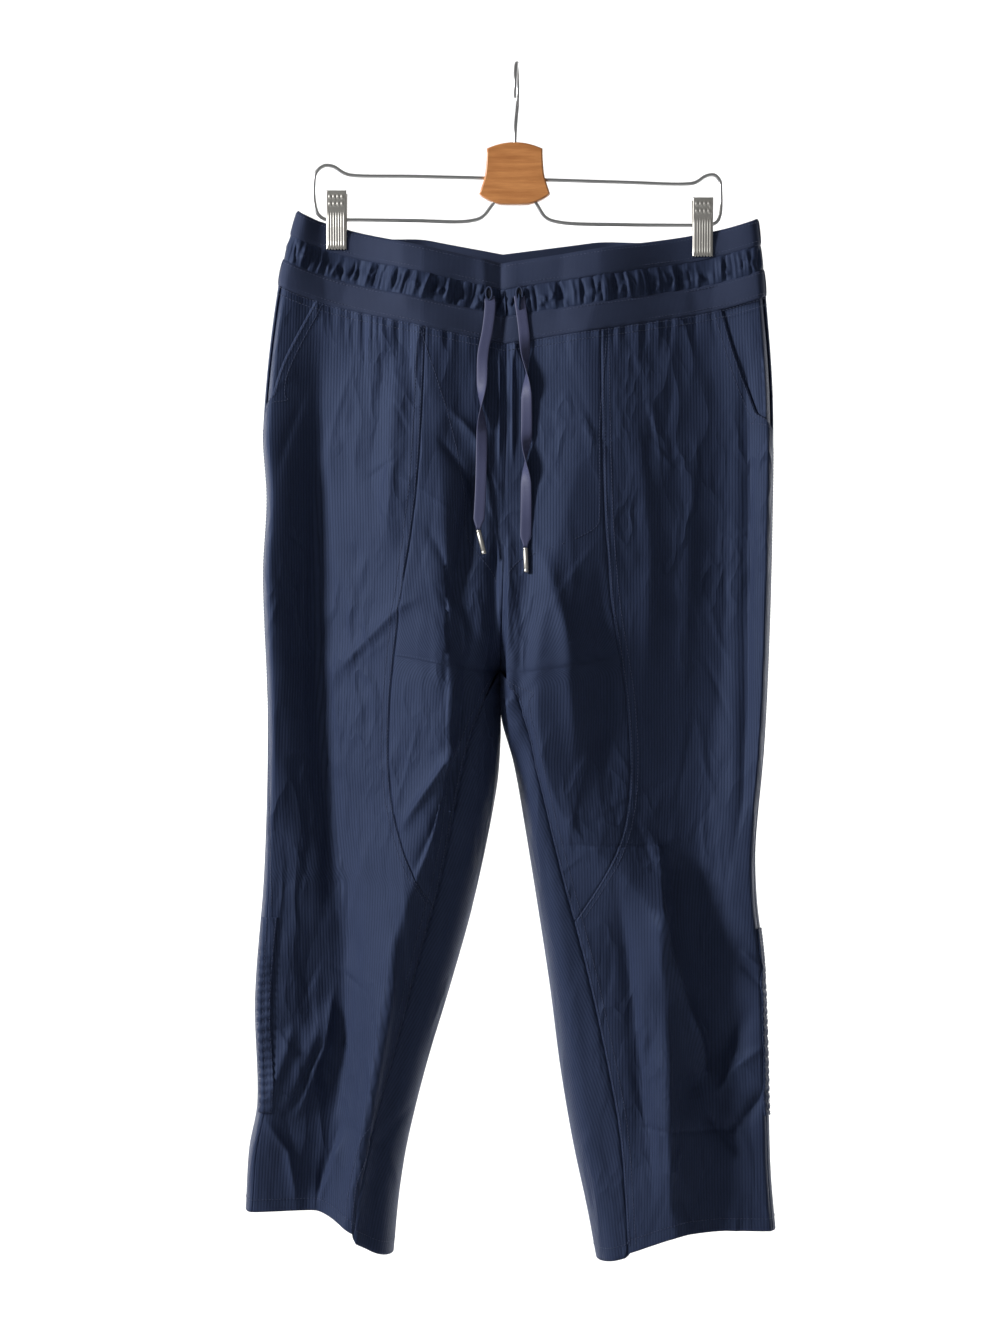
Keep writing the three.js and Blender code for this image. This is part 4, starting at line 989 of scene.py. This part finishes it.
def band_height(band, share, distance, base, is_front):
    if band["name"] == "waist_gathered_channel":
        from_side = np.minimum(distance, 800 - distance)
        full = ruching(distance, share, 1 if is_front else 2) * lerp(0.25, 1, smooth_between(0, 16, from_side))
        return full * (1 - 0.8 * clip_press(base) * smooth_between(0.3, 0.6, share)) - 0.3
    pillow = 0.9 * np.sin(np.clip(share, 0, 1) * math.pi) ** 0.4
    soft = 0.5 * ripple(base[..., 0], base[..., 2] * 2, 60, 6 if is_front else 7)
    top_edge = 0
    if band["name"] == "waist_top_band":
        top_edge = -0.6 * smooth_between(0.86, 1, share)
    return (pillow + soft + top_edge) * (1 - clip_press(base)) + 0.2


for band in BANDS:
    for is_front in (True, False):
        PIECES[f"{band['name']}_{'front' if is_front else 'back'}"] = band_piece(band, is_front)


# ---------- stitches ----------
def strands(name, paths, radius, material, sides=5):
    """Many short tubes in one mesh: each path is an array of points."""
    points, faces = [], []
    for path in paths:
        path = np.asarray(path, float)
        way = np.gradient(path, axis=0)
        way /= np.linalg.norm(way, axis=1, keepdims=True)
        side = np.cross(way, (0.13, 0.97, 0.21))
        side /= np.linalg.norm(side, axis=1, keepdims=True)
        up = np.cross(side, way)
        base = sum(len(part) for part in points)
        ring = np.linspace(0, TAU, sides, endpoint=False)
        width = np.full(len(path), radius)
        if len(path) <= 4:
            width[[0, -1]] *= 0.55
        tube = path[:, None] + width[:, None, None] * (
            np.cos(ring)[None, :, None] * side[:, None] + np.sin(ring)[None, :, None] * up[:, None]
        )
        points.append(tube.reshape(-1, 3))
        count = len(path)
        for i in range(count - 1):
            for j in range(sides):
                k = (j + 1) % sides
                faces.append([base + i * sides + j, base + i * sides + k, base + (i + 1) * sides + k, base + (i + 1) * sides + j])
        faces.append([base + j for j in range(sides)][::-1])
        faces.append([base + (count - 1) * sides + j for j in range(sides)])
    mesh = bpy.data.meshes.new(name)
    mesh.from_pydata((np.concatenate(points) * MM).tolist(), [], faces)
    mesh.materials.append(material)
    mesh.polygons.foreach_set("use_smooth", np.ones(len(mesh.polygons), bool))
    piece = bpy.data.objects.new(name, mesh)
    bpy.context.scene.collection.objects.link(piece)
    return piece


STITCH = 3.0
STITCH_GAP = 0.8


def stitched_line(points):
    """Short stitches along a dense line of points."""
    points = np.asarray(points)
    run = np.r_[0, np.cumsum(np.linalg.norm(np.diff(points, axis=0), axis=1))]
    paths = []
    for start in np.arange(0, run[-1] - STITCH, STITCH):
        at = start + np.array([0, 0.35, 0.7, 1.0]) * (STITCH - STITCH_GAP)
        paths.append(np.stack([np.interp(at, run, points[:, i]) for i in range(3)], 1))
    return paths


def seam_stitches(half, v, p, offset, lift=0.15):
    """A line of stitches beside a seam at p(v), offset along the section."""
    moved = step_along(half, p, v, offset)
    return stitched_line(place(half, moved, v, lift))


stitches = []
for half in HALVES:
    knee = knee_v(half)
    v = rows(0.004, knee, 0.003)
    for offset in (-1.6, -7):
        stitches += seam_stitches(half, v, princess_p(half, v), offset)
    v = rows(CROTCH_V + 0.01, 0.995, 0.003)
    for offset in (-1.6, -7.2):
        stitches += seam_stitches(half, v, inseam_p(half, v), offset)
    v = rows(0.004, half.pocket_end - 0.004, 0.003)
    for offset in (1.5, 7):
        stitches += seam_stitches(half, v, outer_edge_p(half, v), offset)
    v = rows(half.casing[0], half.casing[1], 0.003)
    for offset in (-5, 0, 5):
        stitches += seam_stitches(half, v, side_seam_p(half, v), offset, 1.5)
    v = rows(half.pocket_end + 0.01, half.casing[0] - 0.01, 0.003)
    stitches += seam_stitches(half, v, side_seam_p(half, v), 2)
    # hem, waist seam and centre seams
    p = np.linspace(-0.999, 0.999, 500)
    stitches += stitched_line(place(half, p, np.full(p.shape, 1 - 12 / V_TO_MM), 0.15))
    p = np.linspace(-0.995, 0.995, 500)
    for drop in (2, 7.5):
        stitches += stitched_line(place(half, p, np.full(p.shape, drop / V_TO_MM), 0.15))
    v = rows(0.004, CROTCH_START_V + 0.06, 0.003)
    stitches += stitched_line(place(half, step_along(half, np.full(v.shape, 0.999), v, -1.8), v, 0.15))
    stitches += stitched_line(place(half, step_along(half, np.full(v.shape, -0.999), v, 1.8), v, 0.15))
    for v_line in (-0.003, -0.024, -0.0575, -0.0765):
        stitches += stitched_line(place(half, p, np.full(p.shape, v_line), 0.75))
topstitching = strands("topstitching", stitches, 0.28, THREAD, sides=4)
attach(topstitching, "root")

# ---------- drawcords ----------
CORDS = [
    dict(
        name="left", half=LEFT, tip_end=(-27.8, -422),
        route=[(-24, -200, 1.2, 0), (-23, -207, 2.6, 0), (-25, -228, 3.2, 0), (-29, -250, 3.4, 0), (-30, -275, 4.4, 20),
               (-30.5, -296, 6, 90), (-30, -318, 4.4, 165), (-30.5, -350, 3.4, 180), (-31.5, -378, 3.4, 180),
               (-33, -401, 3.8, 180)],
    ),
    dict(
        name="right", half=RIGHT, tip_end=(7.8, -437),
        route=[(2, -200, 1.2, 0), (3, -208, 2.6, 0), (6, -232, 3.4, 0), (7, -250, 4.4, -35), (8, -267, 6, -90),
               (8, -288, 4.6, -165), (8, -318, 4, -180), (7, -341, 6, -265), (7.5, -362, 4.4, -340),
               (7.5, -395, 3.6, -360), (7, -416, 3.8, -360)],
    ),
]


def on_front(half, x, z, off):
    """The point of the plain front that lies behind a place, moved out by a distance."""
    v = np.linspace(WAIST_V, CROTCH_V + 0.2, 300)
    points = surface(half, p_on_line(half, v, table("z x", [(0, x), (-2000, x)])), v)
    return np.array([x, np.interp(-z, -points[:, 2], points[:, 1]) - off, z])


def catmull_rom(points, count):
    """A smooth centripetal curve through points, at even steps of its parameter."""
    points = np.asarray(points, float)
    ends = np.vstack([2 * points[0] - points[1], points, 2 * points[-1] - points[-2]])
    out = []
    for t in np.linspace(0, len(points) - 1, count):
        i = min(int(t), len(points) - 2)
        p = ends[i : i + 4]
        knots = np.r_[0, np.cumsum(np.sqrt(np.linalg.norm(np.diff(p, axis=0), axis=1)))]
        at = lerp(knots[1], knots[2], t - i)
        for span in (1, 2, 3):
            # each layer blends neighbours; the second and third only between the two middle knots
            lows = {1: (0, 1, 2), 2: (0, 1), 3: (1,)}[span]
            reach = {1: 1, 2: 2, 3: 1}[span]
            p = [lerp(p[k], p[k + 1], (at - knots[low]) / (knots[low + reach] - knots[low])) for k, low in enumerate(lows)]
        out.append(p[0])
    return np.array(out)


def drawcord(cord):
    half, route = cord["half"], cord["route"]
    line = [on_front(half, x, z, off) for x, z, off, _ in route]
    count = 90
    path = catmull_rom(line, count)
    turn = np.radians(np.interp(np.linspace(0, len(route) - 1, count), range(len(route)), [row[3] for row in route]))
    way = np.gradient(path, axis=0)
    way /= np.linalg.norm(way, axis=1, keepdims=True)
    across = np.stack([np.cos(turn), -np.sin(turn), 0 * turn], 1)
    face = np.cross(way, across)
    face /= np.linalg.norm(face, axis=1, keepdims=True)
    t = np.linspace(0, 1, count)
    width = lerp(CORD_WIDTH, 1.7 * TIP_RADIUS, smooth_between(0.95, 1, t))
    thick = lerp(CORD_THICK, 2.6, smooth_between(0.95, 1, t))
    share = np.array([-0.5, -0.47, -0.4, -0.2, 0, 0.2, 0.4, 0.47, 0.5])
    swell = np.array([0.25, 0.7, 1, 0.92, 0.9, 0.92, 1, 0.7, 0.25])
    grids = []
    for sign in (1, -1):
        grids.append(
            path[:, None] + across[:, None] * (share[None] * width[:, None])[..., None]
            + face[:, None] * (sign * 0.5 * swell[None] * thick[:, None])[..., None]
        )
    run = np.r_[0, np.cumsum(np.linalg.norm(np.diff(path, axis=0), axis=1))]
    uv = np.stack(np.broadcast_arrays(share[None] * CORD_WIDTH, run[:, None]), -1) * MM
    tape = shell("drawcord_" + cord["name"], grids[0], grids[1], TAPE, uv)

    end = path[-1]
    down = on_front(half, *cord["tip_end"], TIP_RADIUS + 1) - end
    down /= np.linalg.norm(down)
    tip = lathe_piece("cord_tip_" + cord["name"], end + down * 0.6, down, TIP_PROFILE, NICKEL)
    return tape, tip, path, run[-1]


# radius by distance along the metal tip
TIP_PROFILE = [(1.2, 0), (1.95, 0.1), (2.15, 0.5), (2.15, 1.4), (1.95, 1.8), (1.95, 2.3), (2.15, 2.7), (2.15, 17.6),
               (1.95, 18.0), (1.95, 18.6), (2.15, 19.0), (2.15, 20.4), (1.9, 20.9), (1.2, 21), (0.01, 21)]


def lathe_piece(name, start, way, profile, material, sides=24):
    way = np.asarray(way, float)
    side = np.cross(way, (0.2, 1, 0.1))
    side /= np.linalg.norm(side)
    up = np.cross(side, way)
    ring = np.linspace(0, TAU, sides, endpoint=False)
    points = [
        start + way * along + radius * (math.cos(a) * side + math.sin(a) * up)
        for radius, along in profile for a in ring
    ]
    faces = []
    for i in range(len(profile) - 1):
        for j in range(sides):
            k = (j + 1) % sides
            faces.append([i * sides + j, (i + 1) * sides + j, (i + 1) * sides + k, i * sides + k])
    faces.append(list(range(sides)))
    faces.append([(len(profile) - 1) * sides + j for j in range(sides)][::-1])
    return mixed_mesh(name, points, faces, material)


def mixed_mesh(name, points, faces, material, flat=False):
    """A mesh whose faces have any number of corners, in millimetres."""
    mesh = bpy.data.meshes.new(name)
    mesh.from_pydata((np.asarray(points, float) * MM).tolist(), [], [list(map(int, face)) for face in faces])
    mesh.materials.append(material)
    if not flat:
        mesh.polygons.foreach_set("use_smooth", np.ones(len(mesh.polygons), bool))
    mesh.update()
    piece = bpy.data.objects.new(name, mesh)
    bpy.context.scene.collection.objects.link(piece)
    return piece


def buttonhole(cord):
    """A stitched oval round the place where a cord comes out of the channel, and inside it a flat near-black sheet:
    painted shade for the hole.
    """
    half = cord["half"]
    x, z = cord["route"][0][:2]
    angle = np.linspace(0, TAU, 73)
    centre = on_front(half, x, z + 2, 2.6)
    ring = np.stack([x + 2.7 * np.cos(angle), 0 * angle + centre[1] - 0.5, z + 2 + 5.4 * np.sin(angle)], 1)
    edge = strands("buttonhole_edge_" + cord["name"], [ring], 0.8, BAND_CLOTH, sides=8)
    # a flat near-black fan stands in for the shade inside the hole: painted shade
    rim = angle[:-1:3]
    points = [(x, centre[1] - 0.3, z + 2)] + [
        (x + 2.5 * math.cos(a), centre[1] - 0.2, z + 2 + 5.2 * math.sin(a)) for a in rim
    ]
    count = len(rim)
    faces = [[0, 1 + i, 1 + (i + 1) % count] for i in range(count)]
    shade_sheet = mixed_mesh("buttonhole_shade_sheet_" + cord["name"], points, faces, HOLE_SHADE)
    return edge, shade_sheet


for cord in CORDS:
    tape, tip, path, length = drawcord(cord)
    finish_piece(tape, "drawcord_" + cord["name"])
    finish_piece(tip, "cord_tip_" + cord["name"])
    for piece in buttonhole(cord):
        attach(piece, "root")

# ---------- hanger ----------
WIRES = {
    "hanger_wire_left": [(-27, -97), (-90, -95.5), (-142, -94.5), (-149, -92.5), (-158, -87), (-166, -86.5), (-172.5, -92),
                         (-174.5, -104), (-174, -118), (-171, -128), (-165, -132.4), (-158, -132.9), (-148, -132.9),
                         (-90, -133.5), (-42, -134), (-30, -130.5), (-22, -121), (-16, -112)],
    "hanger_wire_right": [(23, -98.5), (90, -100.5), (146, -102), (154, -100.5), (163, -95), (170, -94.5), (174.5, -99.5),
                          (175.5, -110), (175, -128), (172, -134.5), (166, -137.4), (160, -137.6), (148, -137.6),
                          (90, -137), (37, -135), (25, -131), (18, -121), (13, -112)],
}
WIRE_RADIUS = 1.5
HOOK_RADIUS = 1.6
HOOK_BEND = 19
HOOK_YAW = math.radians(78)
HOOK_FOOT_Z = -85
PLATE_X = -2


def hook_line():
    radius = HOOK_BEND + HOOK_RADIUS
    angles = np.radians(np.arange(-35, 180.1, 21.5))
    crown = [(-radius * math.cos(a), radius * math.sin(a) - HOOK_BEND) for a in angles]
    stem = [(radius * 0.9, -32), (radius * 0.35, -44), (0, -56), (0, HOOK_FOOT_Z)]
    return [
        (across * math.cos(HOOK_YAW) * 0.3 + PLATE_X * z / HOOK_FOOT_Z, across * math.sin(HOOK_YAW), z)
        for across, z in crown + stem
    ]


def wire(name, points, radius, steps):
    path = catmull_rom(points, steps)
    piece = strands(name, [path], radius, CHROME, sides=14)
    return finish_piece(piece, name)


for name, line in WIRES.items():
    wire(name, [(x, 0, z) for x, z in line], WIRE_RADIUS, 200)
wire("hanger_hook", hook_line(), HOOK_RADIUS, 140)


def quadratic(a, b, c, count):
    t = np.linspace(0, 1, count + 1)[1:, None]
    return (1 - t) ** 2 * np.array(a) + 2 * t * (1 - t) * np.array(b) + t * t * np.array(c)


def wooden_plate():
    top, shoulder, waist, hip, foot, x = -66.5, -72, -97, -111, -120, PLATE_X
    outline = [np.array([[x - 24.0, shoulder]])]
    curves = [
        ((x - 24, shoulder), (x - 24.5, waist + 6), (x - 26, waist), 8),
        ((x - 26, waist), (x - 27.5, waist - 5), (x - 30.5, hip), 5),
        ((x - 30.5, hip), (x - 24, foot + 3), (x - 12, foot), 8),
        ((x - 12, foot), (x, foot - 0.4), (x + 12, foot), 6),
        ((x + 12, foot), (x + 24, foot + 3), (x + 30.5, hip), 8),
        ((x + 30.5, hip), (x + 27.5, waist - 5), (x + 26, waist), 5),
        ((x + 26, waist), (x + 24.5, waist + 6), (x + 24, shoulder), 8),
        ((x + 24, shoulder), (x, 2 * top - shoulder), (x - 24, shoulder), 20),
    ]
    outline = np.concatenate(outline + [quadratic(*curve) for curve in curves])[:-1]
    tangent = np.roll(outline, -1, 0) - np.roll(outline, 1, 0)
    inward = np.stack([-tangent[:, 1], tangent[:, 0]], 1)
    inward /= np.linalg.norm(inward, axis=1, keepdims=True)
    area = np.sum(outline[:, 0] * np.roll(outline[:, 1], -1) - np.roll(outline[:, 0], -1) * outline[:, 1])
    inward *= np.sign(area)
    bevel = [(1.6, 0), (1.0, 0.16), (0.5, 0.5), (0.16, 1.0), (0, 1.6)]
    half_thick = 4.5
    profile = [(inset, -half_thick + drop) for inset, drop in bevel] + [(inset, half_thick - drop) for inset, drop in bevel[::-1]]
    rings = [np.stack([*(outline + inward * inset).T, np.full(len(outline), y)], 1)[:, [0, 2, 1]] for inset, y in profile]
    points = np.concatenate(rings)
    count = len(outline)
    faces = []
    for i in range(len(rings) - 1):
        for j in range(count):
            k = (j + 1) % count
            faces.append([i * count + j, i * count + k, (i + 1) * count + k, (i + 1) * count + j])
    faces.append(list(range(count))[::-1])
    faces.append([(len(rings) - 1) * count + j for j in range(count)])
    piece = mixed_mesh("hanger_plate", points, faces, WOOD)
    recalculate(piece)
    for polygon in piece.data.polygons:
        polygon.use_smooth = len(polygon.vertices) == 4
    return finish_piece(piece, "hanger_plate")


def recalculate(piece):
    import bmesh

    made = bmesh.new()
    made.from_mesh(piece.data)
    bmesh.ops.recalc_face_normals(made, faces=made.faces)
    made.to_mesh(piece.data)
    made.free()


wooden_plate()

# ---------- clips ----------
CLIP_WIDTH = 17.5
CLIP_HEIGHT = 50
CLIPS = [dict(name="left", x=-155, top=-109, rail=-132.9), dict(name="right", x=159.5, top=-115, rail=-137.6)]
# how far the plate stands from the middle by the distance down it
CLIP_SIDE = table("drop away", [(0, 9), (21, 5.2), (31, 4.6), (43, 3.2), (50, 3.2)])


def clip_plate(clip, side):
    """One pressed plate: bumps by the handle, flutes down to the teeth."""
    columns, row_count = 48, 64
    share = np.linspace(-0.5, 0.5, columns + 1)[None, :]
    drop = np.linspace(0, CLIP_HEIGHT, row_count + 1)[:, None]
    away = np.interp(drop, CLIP_SIDE["drop"], CLIP_SIDE["away"])
    fluted = smooth_between(17, 20, drop) * smooth_between(48.5, 46, drop)
    flutes = 0.4 * np.cos(share * 4 * TAU) ** 2 * (np.abs(share) < 0.44)
    bumps = 0
    for row_drop in (5.5, 11.5):
        for bump_x in (-0.3, -0.1, 0.1, 0.3):
            bumps = bumps + 0.55 * np.exp(-(((share - bump_x) * CLIP_WIDTH / 1.2) ** 4) - ((drop - row_drop) / 1.5) ** 4)
    edge = -0.5 * smooth_between(0.455, 0.5, np.abs(share)) - 0.4 * smooth_between(1.2, 0, drop)
    lift = fluted * flutes + bumps + edge
    tooth = 0.9 * (np.abs(((share + 0.5) * 7) % 1 - 0.5) < 0.22) * (drop > CLIP_HEIGHT - 1)
    z = clip["top"] - drop + tooth
    x = clip["x"] + share * CLIP_WIDTH
    x, z, away = np.broadcast_arrays(x, z, away)
    outer = np.stack([x, side * (away + 0.9 + lift), z], -1)
    inner = np.stack([x, side * (away + 0.1 + 0 * lift), z], -1)
    uv = np.stack([x, z], -1) * MM
    name = f"clip_{clip['name']}_{'front' if side < 0 else 'back'}"
    return finish_piece(shell(name, outer, inner, NICKEL, uv), name)


def clip_spring(clip):
    """A coil round the rail."""
    turns, steps = 5, 150
    t = np.linspace(0, 1, steps)
    angle = t * turns * TAU
    coil = np.stack([clip["x"] + lerp(-4.4, 4.4, t), 3.1 * np.cos(angle), clip["rail"] + 3.1 * np.sin(angle)], 1)
    piece = strands(f"clip_{clip['name']}_spring", [coil], 0.75, NICKEL, sides=8)
    return finish_piece(piece, f"clip_{clip['name']}_spring")


for clip in CLIPS:
    clip_plate(clip, -1)
    clip_plate(clip, 1)
    clip_spring(clip)

# ---------- cloth pieces: each attached to the root, its CAD part hidden ---
for name, piece in PIECES.items():
    finish_piece(piece, name)


# ---------- light, floor and camera ----------
def plain_material(name, colour, roughness):
    return material(name, colour, roughness)[0]


def plane(name, size, place_at, turn=(0, 0, 0)):
    bpy.ops.mesh.primitive_plane_add(size=size, location=place_at, rotation=turn)
    made = bpy.context.object
    made.name = name
    made.data.materials.append(plain_material(name + "_paint", (0.93, 0.93, 0.93), 0.9))
    return made


def area_light(name, place_at, aim, size, power, colour=(1, 1, 1)):
    data = bpy.data.lights.new(name, "AREA")
    data.shape = "SQUARE"
    data.size = size
    data.energy = power
    data.color = colour
    lamp = bpy.data.objects.new(name, data)
    lamp.location = place_at
    lamp.rotation_euler = (Vector(aim) - Vector(place_at)).to_track_quat("-Z", "Y").to_euler()
    bpy.context.scene.collection.objects.link(lamp)


FLOOR_Z = -2.75
BACKDROP_Y = 7
plane("floor", 30, (0, 0, FLOOR_Z))
plane("backdrop", 30, (0, BACKDROP_Y, 0), (math.radians(90), 0, 0))
area_light("key", (-2.3, -1.05, 0.35), (0, 0, -0.5), 0.5, 106)
area_light("wall_left", (-5.5, BACKDROP_Y - 2.2, 0.2), (1, BACKDROP_Y, -0.5), 3.0, 390)
area_light("wall_right", (5.5, BACKDROP_Y - 2.2, 0.2), (-1, BACKDROP_Y, -0.5), 3.0, 390)

world = bpy.data.worlds.new("studio")
world.use_nodes = True
world.node_tree.nodes["Background"].inputs[0].default_value = (1, 1, 1, 1)
world.node_tree.nodes["Background"].inputs[1].default_value = 0.24
bpy.context.scene.world = world
bpy.context.scene.view_settings.view_transform = "Standard"

CAMERA_DISTANCE = 2.6
VIEW_CENTRE = (-0.0146, -0.517)
VIEW_WIDTH = 0.86
camera = bpy.data.cameras.new("camera")
camera.sensor_fit = "HORIZONTAL"
camera.sensor_width = 36
camera.lens = 36 * CAMERA_DISTANCE / VIEW_WIDTH
camera.clip_end = 30
viewer = bpy.data.objects.new("camera", camera)
viewer.location = (VIEW_CENTRE[0], -CAMERA_DISTANCE, VIEW_CENTRE[1])
viewer.rotation_euler = (math.radians(90), 0, 0)
bpy.context.scene.collection.objects.link(viewer)
bpy.context.scene.camera = viewer
